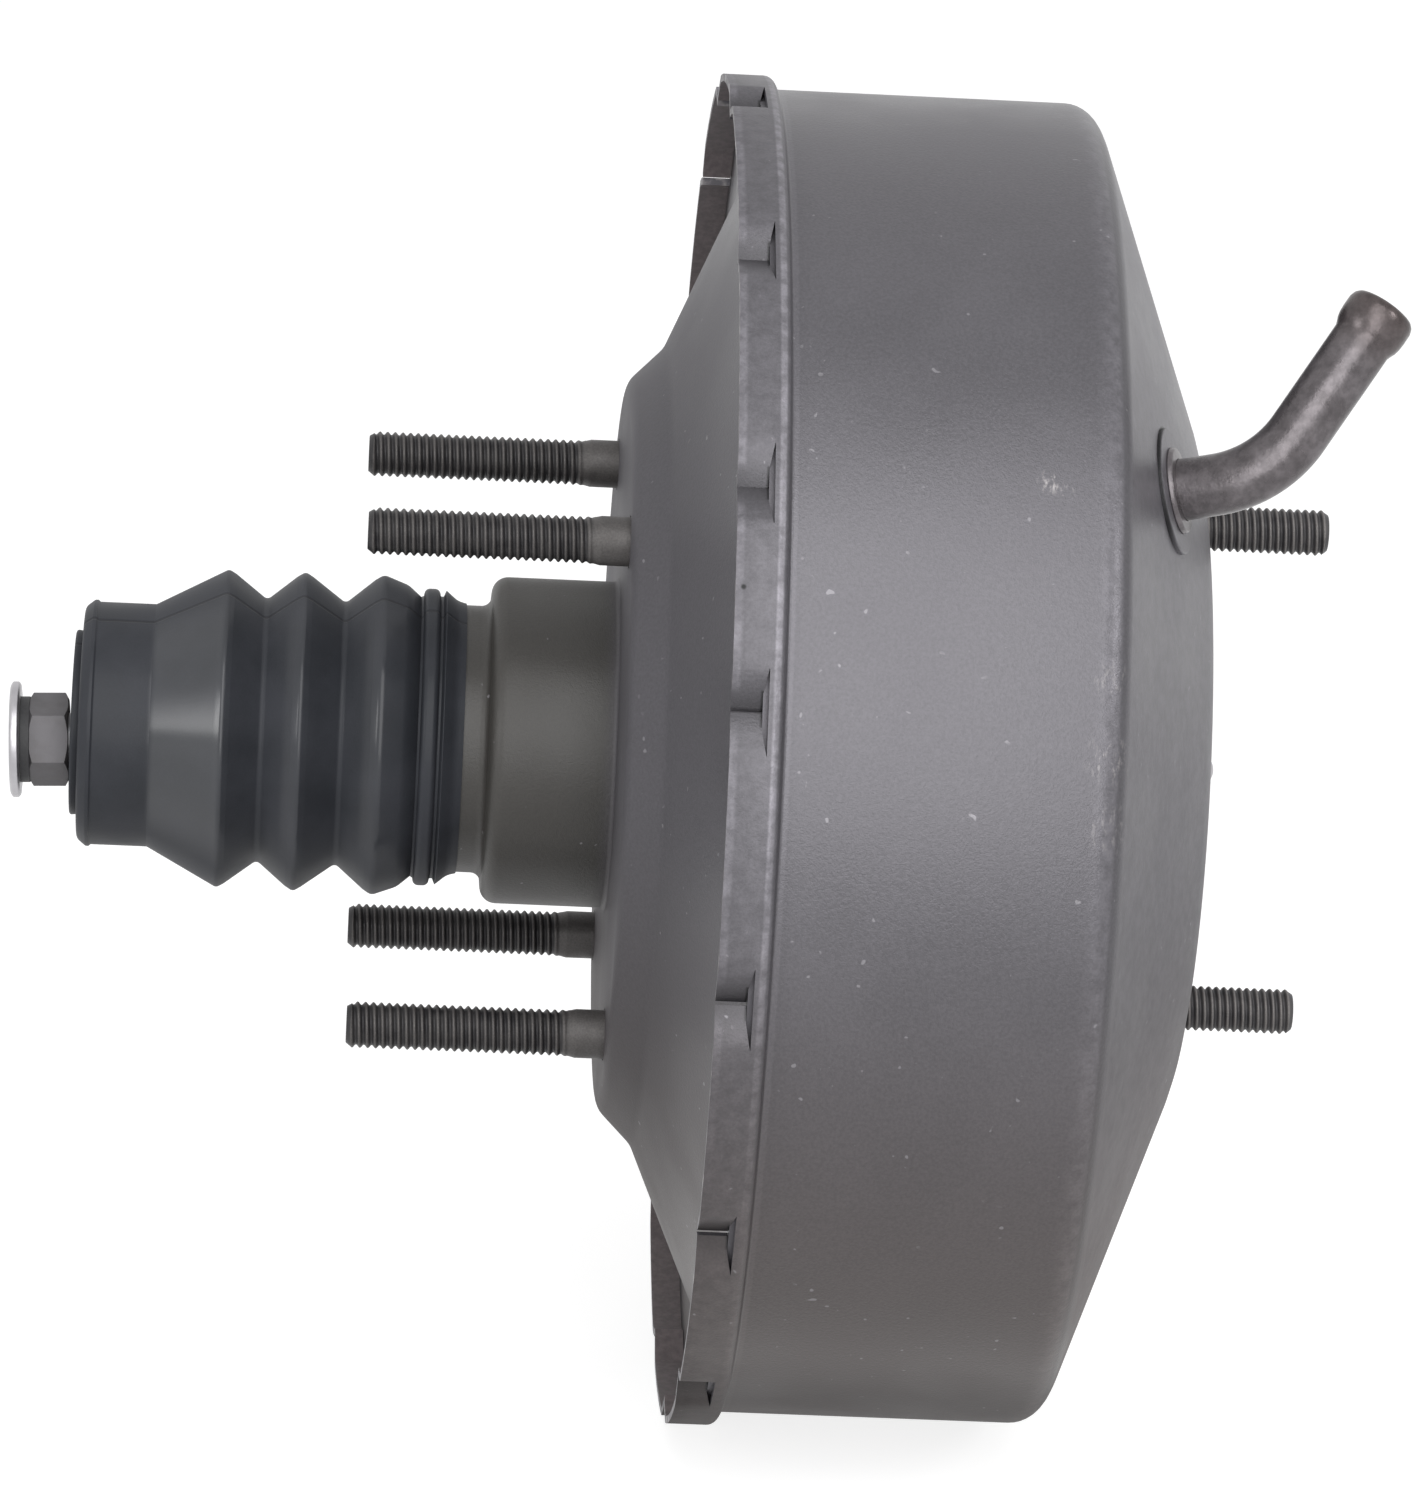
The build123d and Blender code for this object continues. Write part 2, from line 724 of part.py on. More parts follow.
with BuildPart() as output_rod:
    with BuildSketch(Plane.YZ.offset(head_x)):
        Circle(reaction_radius)
    extrude(amount=output_head_height)
    with BuildSketch(Plane.YZ.offset(head_x + output_head_height)):
        Circle(output_radius)
    extrude(amount=output_end - head_x - output_head_height)
    with BuildSketch(Plane.YZ.offset(output_end)):
        Circle(screw_radius + fit_gap)
    extrude(amount=-screw_depth - press_gap, mode=Mode.SUBTRACT)
    chamfer(output_rod.edges().sort_by(Axis.X)[-1], 0.5)
output_rod.part.label = "output_rod"
export_step(output_rod.part, "parts/output_rod.step")

# Adjusting screw with a hexagon and the domed tip that pushes the master cylinder piston
with BuildPart() as output_rod_screw:
    with BuildSketch(Plane.YZ.offset(output_end - screw_depth)):
        Circle(screw_radius)
    extrude(amount=screw_depth + front_face + tip_reach - output_end - screw_radius)
    with BuildSketch(Plane.YZ.offset(output_end + press_gap)):
        RegularPolygon(screw_flats / 2, 6, major_radius=False)
    extrude(amount=screw_hex_height)
    with Locations((front_face + tip_reach - screw_radius, 0, 0)):
        Sphere(screw_radius)
output_rod_screw.part.label = "output_rod_screw"
export_step(output_rod_screw.part, "parts/output_rod_screw.step")

# Pressed plate of the power piston: flat centre, cone and a rim turned forwards
plate_line = [
    (plate_x, boss_radius + press_gap),
    (plate_x, face_radius - piston_plate_margin),
    (cone_end_x, piston_plate_radius),
    (cone_end_x + piston_plate_rim, piston_plate_radius),
]
with BuildPart() as diaphragm_plate:
    with BuildSketch(Plane.XY):
        with BuildLine():
            Polyline(*plate_line)
            offset(amount=piston_plate, side=Side.RIGHT, kind=Kind.INTERSECTION)
        make_face()
    revolve(axis=Axis.X)
diaphragm_plate.part.label = "diaphragm_plate"
export_step(diaphragm_plate.part, "parts/diaphragm_plate.step")

with BuildPart() as plate_ring:
    with BuildSketch(Plane.YZ.offset(ring_x)):
        Circle(ring_radius)
        Circle(boss_radius + press_gap, mode=Mode.SUBTRACT)
    extrude(amount=ring_height)
plate_ring.part.label = "plate_ring"
export_step(plate_ring.part, "parts/plate_ring.step")

# Diaphragm: lies on the back of the plate, rolls forwards and back to its bead at the rim
middle = beside(plate_line, press_gap + rubber / 2)
roll_radius = drum_inner - rubber / 2 - 4 * press_gap
bead_x = flange_x + sheet + press_gap
with BuildPart() as diaphragm:
    with BuildSketch(Plane.XY):
        with BuildLine():
            roll_start = middle[3][0] + roll_reach / 2
            roll_end = middle[3][0] + roll_reach
            roll_corner = (roll_radius - middle[3][1]) / 3
            Polyline(
                (middle[0][0], middle[0][1] + rubber / 2),
                *middle[1:3],
                (roll_start, middle[3][1]),
                (roll_end, middle[3][1] + roll_corner),
                (roll_end, roll_radius - roll_corner),
                (roll_start, roll_radius),
                (bead_x + bead_height / 2, roll_radius),
            )
            offset(amount=rubber / 2, kind=Kind.INTERSECTION)
        make_face()
        with Locations((bead_x + bead_height / 2, drum_inner - press_gap - bead_width / 2)):
            Rectangle(bead_height, bead_width)
    revolve(axis=Axis.X)
diaphragm.part.label = "diaphragm"
export_step(diaphragm.part, "parts/diaphragm.step")

return_spring = coil(
    spring_radius,
    spring_wire,
    spring_turns,
    plate_x + piston_plate + press_gap,
    front_plate_x - press_gap,
)
return_spring.part.label = "return_spring"
export_step(return_spring.part, "parts/return_spring.step")

# Input rod on its own line, which droops from the ball: local Z runs out to the pedal
rod_way = Vector(-math.cos(math.radians(droop)), 0, -math.sin(math.radians(droop)))
rod_profile = Plane(origin=(ball_x, 0, 0), x_dir=rod_way, z_dir=(0, 1, 0))
rod_axis = Axis((ball_x, 0, 0), rod_way)
rod_section = Plane(origin=(ball_x, 0, 0), x_dir=(0, 1, 0), z_dir=rod_way)
with BuildPart() as input_rod:
    with BuildSketch(rod_profile):
        with BuildLine():
            neck_start = math.sqrt(ball_radius**2 - rod_neck**2)
            ThreePointArc((-ball_radius, 0), (0, ball_radius), (neck_start, rod_neck))
            Polyline(
                (neck_start, rod_neck),
                (rod_neck_length, rod_neck),
                (rod_taper_end, rod_radius),
                (rod_collar_place, rod_radius),
                (rod_collar_place, rod_collar_radius),
                (rod_collar_place + rod_collar_height, rod_collar_radius),
                (rod_collar_place + rod_collar_height, rod_radius),
                (nut_start - press_gap, rod_radius),
                (nut_start - press_gap, rod_tip_radius),
                (rod_length, rod_tip_radius),
                (rod_length, 0),
                (-ball_radius, 0),
            )
        make_face()
    revolve(axis=rod_axis)
input_rod.part.label = "input_rod"
export_step(input_rod.part, "parts/input_rod.step")

# Flanged coupling nut that takes the pedal clevis
with BuildPart() as rod_nut:
    with BuildSketch(rod_section.offset(nut_start)):
        RegularPolygon(nut_flats / 2, 6, major_radius=False, rotation=nut_turn)
    extrude(amount=nut_height)
    with BuildSketch(rod_profile):
        with Locations((nut_start + nut_height / 2, nut_flats / 4)):
            Rectangle(nut_height, nut_flats / 2)
        with BuildLine():
            Polyline(
                (nut_start, nut_flats / 2 - nut_chamfer / 2),
                (nut_start + nut_chamfer, nut_flats / 2 + 2 * nut_chamfer),
                (nut_start + nut_height, nut_flats / 2 + 2 * nut_chamfer),
                (nut_start + nut_height, 0),
                (nut_start, 0),
                close=True,
            )
        make_face()
    revolve(axis=rod_axis, mode=Mode.INTERSECT)
    with BuildSketch(rod_section.offset(nut_start + nut_height)):
        Circle(nut_flange_radius)
    extrude(amount=nut_flange_height, taper=8)
    with BuildSketch(rod_section.offset(nut_start)):
        Circle(rod_tip_radius + fit_gap)
    extrude(amount=rod_length - nut_start, mode=Mode.SUBTRACT)
    with BuildSketch(rod_section.offset(rod_length)):
        Circle(nut_bore)
    extrude(amount=nut_start + nut_height + nut_flange_height - rod_length, mode=Mode.SUBTRACT)
rod_nut.part.label = "rod_nut"
export_step(rod_nut.part, "parts/rod_nut.step")

rod_return_spring = coil(
    rod_spring_radius,
    rod_spring_wire,
    rod_spring_turns,
    ball_x - rod_collar_place + rod_spring_gap,
    retainer_end - retainer_sheet - press_gap,
)
rod_return_spring.part.label = "rod_return_spring"
export_step(rod_return_spring.part, "parts/rod_return_spring.step")

# Air filter and silencer, rings of felt and foam in the mouth of the valve body
filter_x = body_rear + press_gap
silencer_x = filter_x + filter_length + press_gap
with BuildPart() as air_filter:
    with BuildSketch(Plane.YZ.offset(filter_x)):
        Circle(body_bore - press_gap)
        Circle(filter_hole, mode=Mode.SUBTRACT)
    extrude(amount=filter_length)
air_filter.part.label = "air_filter"
export_step(air_filter.part, "parts/air_filter.step")

with BuildPart() as silencer:
    with BuildSketch(Plane.YZ.offset(silencer_x)):
        Circle(body_bore - press_gap)
        Circle(filter_hole, mode=Mode.SUBTRACT)
    extrude(amount=silencer_length)
silencer.part.label = "silencer"
export_step(silencer.part, "parts/silencer.step")

# Dust boot: lip and bead on the nose of the shell, three folds, cone and a closed tail
boot_start = nose_end + boot_grip
boot_cone_end = body_rear + boot_tail_length
fold_peaks = [nose_end - boot_lead - fold * boot_pitch for fold in range(boot_folds)]
boot_peak = body_radius + boot_peak_rise
boot_valley = body_radius + boot_valley_rise
boot_lip_radius = nose_radius + boot_lip_rise
boot_bead_radius = nose_radius + boot_bead_rise
boot_bead_end = nose_end + boot_bead_inset
boot_tail_radius = body_radius + boot_tail_wall
boot_disc_radius = boot_tail_radius - boot_disc_inset
boot_inside = body_radius + boot_gap
groove_radius = boot_lip_radius - boot_groove_depth
with BuildPart() as dust_boot:
    with BuildSketch(Plane.XY):
        with BuildLine():
            outside = [
                (boot_start, nose_radius + boot_gap + boot_wall / 3),
                (boot_start - boot_lip_length, boot_lip_radius),
                (boot_start - boot_lip_length - boot_groove_width, groove_radius),
                (boot_start - boot_lip_length - 2 * boot_groove_width, boot_bead_radius),
                (boot_bead_end, boot_bead_radius),
                (boot_bead_end - boot_groove_width, groove_radius),
            ]
            inside = [(boot_start, nose_radius + boot_gap), (nose_end, nose_radius + boot_gap)]
            for peak in fold_peaks:
                outside += [(peak, boot_peak), (peak - boot_pitch / 2, boot_valley)]
                inside += [
                    (peak, boot_peak - 1.25 * boot_wall),
                    (peak - boot_pitch / 2, boot_valley - boot_wall),
                ]
            outside[-1] = (boot_cone_end, boot_tail_radius)
            inside[-1] = (boot_cone_end, boot_inside)
            outside += [
                (boot_end + boot_tail_corner, boot_tail_radius),
                (boot_end, boot_tail_radius - boot_tail_corner),
                (boot_end, boot_disc_radius),
                (boot_end - boot_disc_height, boot_disc_radius),
                (boot_end - boot_disc_height, filter_hole),
            ]
            inside += [(boot_end + boot_wall, boot_inside), (boot_end + boot_wall, filter_hole)]
            Polyline(*outside, *reversed(inside), close=True)
        make_face()
    revolve(axis=Axis.X)
dust_boot.part.label = "dust_boot"
export_step(dust_boot.part, "parts/dust_boot.step")
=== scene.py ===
import bmesh
import bpy
import math
from mathutils import Matrix, Vector


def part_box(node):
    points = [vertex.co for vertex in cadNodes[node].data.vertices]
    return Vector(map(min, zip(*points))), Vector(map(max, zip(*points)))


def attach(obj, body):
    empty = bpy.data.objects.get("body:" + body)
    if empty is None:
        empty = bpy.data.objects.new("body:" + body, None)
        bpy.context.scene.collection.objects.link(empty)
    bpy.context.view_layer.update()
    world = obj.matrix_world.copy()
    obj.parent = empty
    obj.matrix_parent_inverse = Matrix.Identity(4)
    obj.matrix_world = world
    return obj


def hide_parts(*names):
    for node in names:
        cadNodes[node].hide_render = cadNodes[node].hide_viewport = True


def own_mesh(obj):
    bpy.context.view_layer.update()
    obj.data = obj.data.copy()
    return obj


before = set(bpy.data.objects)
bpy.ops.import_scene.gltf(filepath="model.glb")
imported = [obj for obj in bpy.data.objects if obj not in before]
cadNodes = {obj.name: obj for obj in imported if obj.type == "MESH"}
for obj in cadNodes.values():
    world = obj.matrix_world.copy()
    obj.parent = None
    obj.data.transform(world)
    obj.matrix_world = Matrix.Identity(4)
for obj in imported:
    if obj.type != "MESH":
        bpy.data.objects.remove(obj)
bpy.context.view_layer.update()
mm = 0.001
alongX = Vector((1, 0, 0))
print("frame loaded,", len(cadNodes), "nodes")


# Modelling helpers. Profiles are corners of (x, radius) or (x, radius, rounding) in millimetres.
arcStep = 10  # degrees that one short edge of a rounding turns
holeSides = 48
weldReach = 0.002
sameLength = 0.01
sameAngle = 1e-4  # radians


def deselectAll():
    if bpy.context.mode != "OBJECT":
        bpy.ops.object.mode_set(mode="OBJECT")
    bpy.ops.object.select_all(action="DESELECT")


def roundCorners(corners, closed):
    points = []
    last = len(corners) - 1
    for place, corner in enumerate(corners):
        here = Vector(corner[:2])
        rounding = corner[2] if len(corner) > 2 else 0
        if rounding == 0 or (not closed and place in (0, last)):
            points.append(here)
            continue
        before = (Vector(corners[place - 1][:2]) - here).normalized()
        after = (Vector(corners[(place + 1) % len(corners)][:2]) - here).normalized()
        half = before.angle(after) / 2
        turn = math.pi - 2 * half
        centre = here + (before + after).normalized() * rounding / math.sin(half)
        arm = here + before * rounding / math.tan(half) - centre
        way = -1 if before.cross(after) > 0 else 1
        steps = max(2, math.ceil(math.degrees(turn) / arcStep))
        for step in range(steps + 1):
            points.append(centre + Matrix.Rotation(way * turn * step / steps, 2) @ arm)
    return points


def drawLine(name, corners, closed=False):
    deselectAll()
    bpy.ops.mesh.primitive_plane_add(size=mm)
    piece = bpy.context.object
    piece.name = piece.data.name = name
    bpy.ops.object.mode_set(mode="EDIT")
    bpy.ops.mesh.merge(type="CENTER")
    points = roundCorners(corners, closed)
    bpy.ops.transform.translate(value=(points[0].x * mm, 0, points[0].y * mm))
    for here, there in zip(points, points[1:]):
        step = (there - here) * mm
        bpy.ops.mesh.extrude_region_move(TRANSFORM_OT_translate={"value": (step.x, 0, step.y)})
    if closed:
        mesh = bmesh.from_edit_mesh(piece.data)
        mesh.verts.ensure_lookup_table()
        mesh.verts[0].select_set(True)
        bpy.ops.mesh.edge_face_add()
    bpy.ops.mesh.select_all(action="SELECT")
    return piece


def closeUp():
    bpy.ops.mesh.select_all(action="SELECT")
    bpy.ops.mesh.remove_doubles(threshold=weldReach * mm)
    bpy.ops.mesh.normals_make_consistent(inside=False)
    deselectAll()


def lathe(name, corners, steps, closed=True):
    piece = drawLine(name, corners, closed)
    bpy.ops.mesh.spin(steps=steps, angle=2 * math.pi, center=(0, 0, 0), axis=alongX)
    closeUp()
    return piece


def turnTo(piece, origin, way):
    turn = alongX.rotation_difference(Vector(way)).to_matrix().to_4x4()
    piece.data.transform(Matrix.Translation(Vector(origin) * mm) @ turn)


def applyAll(piece):
    bpy.context.view_layer.objects.active = piece
    for modifier in list(piece.modifiers):
        bpy.ops.object.modifier_apply(modifier=modifier.name)


def thicken(piece, wall, inner=0):
    # Grows the wall inwards, its rim in material 1 and its inner face in material inner
    shell = piece.modifiers.new("wall", "SOLIDIFY")
    shell.thickness = wall * mm
    shell.offset = -1
    shell.use_even_offset = True
    shell.material_offset = inner
    shell.material_offset_rim = 1
    applyAll(piece)


def drill(piece, places, way, radius, depth=6):
    for place in places:
        deselectAll()
        bpy.ops.mesh.primitive_cylinder_add(vertices=holeSides, radius=radius * mm, depth=depth * mm)
        cutter = bpy.context.object
        turn = Vector((0, 0, 1)).rotation_difference(Vector(way)).to_matrix().to_4x4()
        cutter.data.transform(Matrix.Translation(Vector(place) * mm) @ turn)
        cut = piece.modifiers.new("hole", "BOOLEAN")
        cut.operation = "DIFFERENCE"
        cut.solver = "EXACT"
        cut.object = cutter
        applyAll(piece)
        bpy.data.objects.remove(cutter)


def joinPieces(pieces, name):
    deselectAll()
    for piece in pieces:
        piece.select_set(True)
    bpy.context.view_layer.objects.active = pieces[0]
    if len(pieces) > 1:
        bpy.ops.object.join()
    joined = bpy.context.object
    joined.name = joined.data.name = name
    return joined


def copyPiece(piece, shift):
    twin = piece.copy()
    twin.data = piece.data.copy()
    twin.data.transform(Matrix.Translation(Vector(shift) * mm))
    bpy.context.scene.collection.objects.link(twin)
    return twin


def turnOutward(piece, outwardAt):
    # Flips a sheet whose normals face inwards on the whole
    if sum(face.normal.dot(outwardAt(face.center)) for face in piece.data.polygons) < 0:
        piece.data.flip_normals()


def dress(piece, *materials):
    for material in materials:
        piece.data.materials.append(material)


def finishPiece(piece, body, replaced, smoothAngle=35):
    deselectAll()
    piece.select_set(True)
    bpy.context.view_layer.objects.active = piece
    bpy.ops.object.shade_smooth_by_angle(angle=math.radians(smoothAngle))
    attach(piece, body)
    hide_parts(replaced)
    print("made", piece.name, len(piece.data.polygons), "faces")


# Materials. A Wire is one socket, and sums and products of wires add their Math nodes.
class Wire:
    def __init__(self, finish, socket):
        self.finish = finish
        self.socket = socket

    def maths(self, operation, other=0.0, flip=False):
        first, second = (other, self) if flip else (self, other)
        return self.finish.add("ShaderNodeMath", {"operation": operation}, {0: first, 1: second})

    def __add__(self, other):
        return self.maths("ADD", other)

    def __sub__(self, other):
        return self.maths("SUBTRACT", other)

    def __rsub__(self, other):
        return self.maths("SUBTRACT", other, flip=True)

    def __mul__(self, other):
        return self.maths("MULTIPLY", other)

    __radd__ = __add__
    __rmul__ = __mul__

    def between(self, low, high):
        # Rises smoothly from 0 at low to 1 at high
        settings = {"interpolation_type": "SMOOTHSTEP"}
        return self.finish.add("ShaderNodeMapRange", settings, {0: self, 1: low, 2: high})

    def band(self, rise, fall):
        # 1 in the stretch between a soft rise and a soft fall
        return self.between(*rise) * (1 - self.between(*fall))


class Finish:
    def __init__(self, name, **constants):
        self.material = bpy.data.materials.new(name)
        self.material.use_nodes = True
        self.tree = self.material.node_tree
        self.shader = self.tree.nodes["Principled BSDF"]
        for label, value in constants.items():
            self.put(self.shader.inputs[label.replace("_", " ")], value)
        place = self.add("ShaderNodeTexCoord", {}, {}, "Object")
        millimetres = {0: place, "Scale": 1 / mm}
        self.place = self.add("ShaderNodeVectorMath", {"operation": "SCALE"}, millimetres)
        split = self.add("ShaderNodeSeparateXYZ", {}, {0: self.place}).socket.node
        self.x, self.y, self.z = (Wire(self, split.outputs[axis]) for axis in "XYZ")

    def put(self, socket, value):
        if isinstance(value, Wire):
            self.tree.links.new(value.socket, socket)
        elif socket.type == "RGBA" and len(value) == 3:
            socket.default_value = (*value, 1)
        else:
            socket.default_value = value

    def add(self, kind, settings, values, output=0):
        node = self.tree.nodes.new(kind)
        for label, value in settings.items():
            setattr(node, label, value)
        for label, value in values.items():
            self.put(node.inputs[label], value)
        return Wire(self, node.outputs[output])

    def noise(self, size, detail=2.0, roughness=0.5, place=None):
        values = {"Vector": place or self.place, "Scale": 1.0 / size}
        values.update({"Detail": detail, "Roughness": roughness})
        return self.add("ShaderNodeTexNoise", {}, values)

    def stretched(self, x, y, z):
        values = {0: self.place, 1: (x, y, z)}
        return self.add("ShaderNodeVectorMath", {"operation": "MULTIPLY"}, values)

    def radius(self):
        return (self.y * self.y + self.z * self.z).maths("SQRT")

    def mix(self, share, colour, other):
        settings = {"data_type": "RGBA", "clamp_factor": True}
        return self.add("ShaderNodeMix", settings, {0: share, 6: colour, 7: other}, 2)

    def shade(self, colour, factor):
        values = {0: colour, "Scale": factor}
        return self.add("ShaderNodeVectorMath", {"operation": "SCALE"}, values)

    def bump(self, height, depth):
        values = {"Height": height, "Distance": depth * mm, "Strength": 1.0}
        self.put(self.shader.inputs["Normal"], self.add("ShaderNodeBump", {}, values))

    def distance(self, x, y, z):
        values = {0: self.place, 1: (x, y, z)}
        return self.add("ShaderNodeVectorMath", {"operation": "DISTANCE"}, values, "Value")

    def near(self, x, y, z, radius):
        return 1 - self.distance(x, y, z).between(0.3 * radius, radius)


# Places that shapes and materials share, in millimetres; the rows are (y, z)
nippleBase = (81.57, -55.02, 56.97)
beadTip = (112.9, -48.4, 85.7)
studAside, studAbove = 30, 40
bulkheadRow = [(y, z) for y in (-studAside, studAside) for z in (-studAbove, studAbove)]
cylinderRow = [(0, studAbove), (0, -studAbove)]

# Housing paint. A colour is linear red, green and blue
paint = {
    "grey": (0.098, 0.094, 0.104),
    # painted shade: the darker colour that the lower half blends to
    "lower": (0.080, 0.069, 0.068),
    "neck": (0.044, 0.041, 0.037),
    "dust": (0.30, 0.29, 0.31),
    "steel": (0.36, 0.34, 0.34),
    "shadow": (0.012, 0.012, 0.013),
    "roughness": 0.37,
    "metallic": 0.45,
}
# Where the paint is chipped through: middle, reach and how much
chips = [
    ((69.4, -98.8, 37.0), 4.0, 0.3),
    ((69.6, -102.2, 26.0), 5.0, 0.45),
    ((70.3, -104.3, 15.6), 5.0, 0.35),
    ((59.7, -85.2, 63.7), 2.4, 0.8),
    ((62.2, -86.1, 62.5), 1.6, 0.8),
]
pit = {"middle": (14.3, -97.1, 48.4), "reach": 0.6}
# The painted shadow line round the nipple's pad: its radius, its width and the blur where it ends
padShadowLine = {"radius": 9.9, "width": 0.28, "blur": 1.5}
# Soft edges of the paint's zones along the axis, in height and in radius: from 0 to 1, and back
zones = {
    "low": (-80, 10),
    "neckEnd": (-3, 1),
    "neckRadius": (28, 34),
    "rearShell": (5, 22),
    "behind": (5, 18.5),
    "underside": (-94, -76),
    "corner": ((66.4, 69.8), (70.4, 71.0)),
    "crease": ((70.7, 71.2), (71.6, 72.2)),
    "cone": (71.5, 73),
    "coneUpper": (-30, 60),
    "coneLower": (-50, -15),
    "rim": ((12, 13), (20.5, 21.5)),
    "rimRadius": (107.6, 108),
    "rimEdge": ((12.9, 13.1), (13.9, 14.6)),
    "rimFoot": ((19.1, 19.5), (20.1, 20.5)),
    "rimHighlightHeight": (-50, 20),
    "rimHighlightRadius": (106.6, 107.6),
    "ledge": ((21.2, 21.5), (22, 22.4)),
    "tongueDepth": ((104, 104.6), (105.6, 108.3)),
    "tongueEnd": (18.4, 18.6),
    "gutter": ((17.3, 17.7), (19.2, 20)),
    "gutterDepth": ((102, 105), (107.0, 107.2)),
}


def shadePaint(finish, colour, low, blotch):
    # Gives the shaded colour and what the rim and the dull places add to the roughness.
    # Painted light: a highlight band on the corner between drum and cone, shade in the crease, a
    # lighter top and bottom of the cone, patchy sheen and highlight strips on the rim.
    across, height, radius = finish.x, finish.z, finish.radius()
    corner = across.band(*zones["corner"])
    crease = across.band(*zones["crease"])
    cone = across.between(*zones["cone"])
    upper = height.between(*zones["coneUpper"])
    lowest = 1 - height.between(*zones["coneLower"])
    rim = across.band(*zones["rim"]) * radius.between(*zones["rimRadius"])
    # Painted highlight: light strips along the rim's open edge and its rounded foot, stronger towards
    # the top
    rimHighlight = across.band(*zones["rimEdge"]) * 0.6 + across.band(*zones["rimFoot"])
    rimHighlight = rimHighlight * (0.2 + 0.8 * height.between(*zones["rimHighlightHeight"]))
    rimHighlight = rimHighlight * radius.between(*zones["rimHighlightRadius"])
    # Painted light: the cone is made darker, then lighter again towards its top and its bottom
    change = cone * (0.3 * blotch + 0.32 * upper + 0.2 * lowest - 0.2)
    # Painted highlight: a blotchy light band on the corner between drum and cone; painted shade: a
    # darker line in the crease beside it; the rim band gets a painted patchy sheen
    change = change + corner * 0.42 * blotch - 0.16 * crease + rim * (0.3 * blotch - 0.07)
    # Painted highlight: a light line on the drum just past the rim's foot
    change = change + rimHighlight * (0.3 + 0.9 * blotch) + 0.18 * across.band(*zones["ledge"])
    colour = finish.shade(colour, 1 + change)
    # Painted shade: darker behind the rim and under the drum, where the light is poor, and on the
    # pressed-in tongues
    behind = 1 - across.between(*zones["behind"])
    underside = 1 - height.between(*zones["underside"])
    colour = finish.shade(colour, 1 - low * (0.24 * behind + 0.42 * underside))
    pressed = radius.band(*zones["tongueDepth"]) * (1 - across.between(*zones["tongueEnd"]))
    colour = finish.shade(colour, 1 - 0.4 * pressed)
    # Painted shadow in the gutter seen through the lance slots
    gutter = across.band(*zones["gutter"]) * radius.band(*zones["gutterDepth"])
    colour = finish.mix(gutter * 0.85, colour, paint["shadow"])
    return colour, 0.1 * rim, 0.25 * behind + 0.22 * underside + 0.2 * cone * (1 - upper)


def wearAndPadShadow(finish, colour):
    # Dust, chips down to the steel, one pit, and a painted shadow line round the left half of the
    # nipple's pad
    speck = finish.noise(1.1, 0).between(0.80, 0.86) * finish.noise(9, 1).between(0.5, 0.6)
    colour = finish.mix(speck * 0.5, colour, paint["dust"])
    flakes = finish.noise(0.8, 4, 0.7, finish.stretched(1, 0.35, 0.35)).between(0.5, 0.66)
    worn = 0.0
    for middle, reach, amount in chips:
        worn = worn + finish.near(*middle, reach) * amount * flakes
    colour = finish.mix(worn, colour, paint["steel"])
    colour = finish.mix(finish.near(*pit["middle"], pit["reach"]), colour, paint["shadow"])
    # Painted shadow: a dark line round the nipple's pad, only on its left half
    shadowLineAway = (finish.distance(*nippleBase) - padShadowLine["radius"]).maths("ABSOLUTE")
    shadowLine = 1 - shadowLineAway.between(0.3 * padShadowLine["width"], padShadowLine["width"])
    middle, blur = nippleBase[0], padShadowLine["blur"]
    leftHalf = 1 - finish.x.between(middle - blur, middle + blur)
    return finish.mix(shadowLine * leftHalf, colour, paint["shadow"])


def makePaint():
    finish = Finish("satin paint", Specular_IOR_Level=0.5)
    # Painted shade: the lower half blends to a darker colour
    low = 1 - finish.z.between(*zones["low"])
    colour = finish.mix(low, paint["grey"], paint["lower"])
    neck = 1 - finish.x.between(*zones["neckEnd"])
    neck = neck * (1 - finish.radius().between(*zones["neckRadius"]))
    colour = finish.mix(neck, colour, paint["neck"])
    cloud = finish.noise(24, 3).between(0.3, 0.7)
    grain = finish.noise(0.5, 2).between(0.2, 0.8)
    fine = finish.noise(0.22, 1).between(0.25, 0.75)
    blotch = finish.noise(2.2, 3, 0.6).between(0.25, 0.75)
    colour = finish.shade(colour, 0.82 + 0.1 * cloud + 0.22 * grain + 0.08 * fine)
    # Painted shade: the rear shell is made darker than the front shell; the neck is taken down a little
    # more
    colour = finish.shade(colour, 0.85 + 0.15 * finish.x.between(*zones["rearShell"]) - 0.09 * neck)
    colour, rough, duller = shadePaint(finish, colour, low, blotch)
    finish.put(finish.shader.inputs["Base Color"], wearAndPadShadow(finish, colour))
    finish.put(finish.shader.inputs["Metallic"], paint["metallic"] * (1 - neck))
    rough = paint["roughness"] - 0.05 + 0.08 * cloud + 0.04 * grain + 0.1 * neck + rough
    finish.put(finish.shader.inputs["Roughness"], rough + duller * (1 - neck))
    finish.bump(0.6 * grain + 0.4 * fine, 0.03)
    return finish.material


def makeWornEdge():
    finish = Finish("worn sheet edge", Metallic=0.6)
    openEdge = 1 - finish.x.between(16.6, 17.4)
    patch = finish.noise(2.6, 3).between(0.48, 0.72) * 0.7 * openEdge
    finish.put(finish.shader.inputs["Base Color"], finish.mix(patch, paint["grey"], paint["steel"]))
    finish.put(finish.shader.inputs["Roughness"], 0.5 - 0.15 * patch)
    finish.bump(finish.noise(0.4, 2), 0.04)
    return finish.material


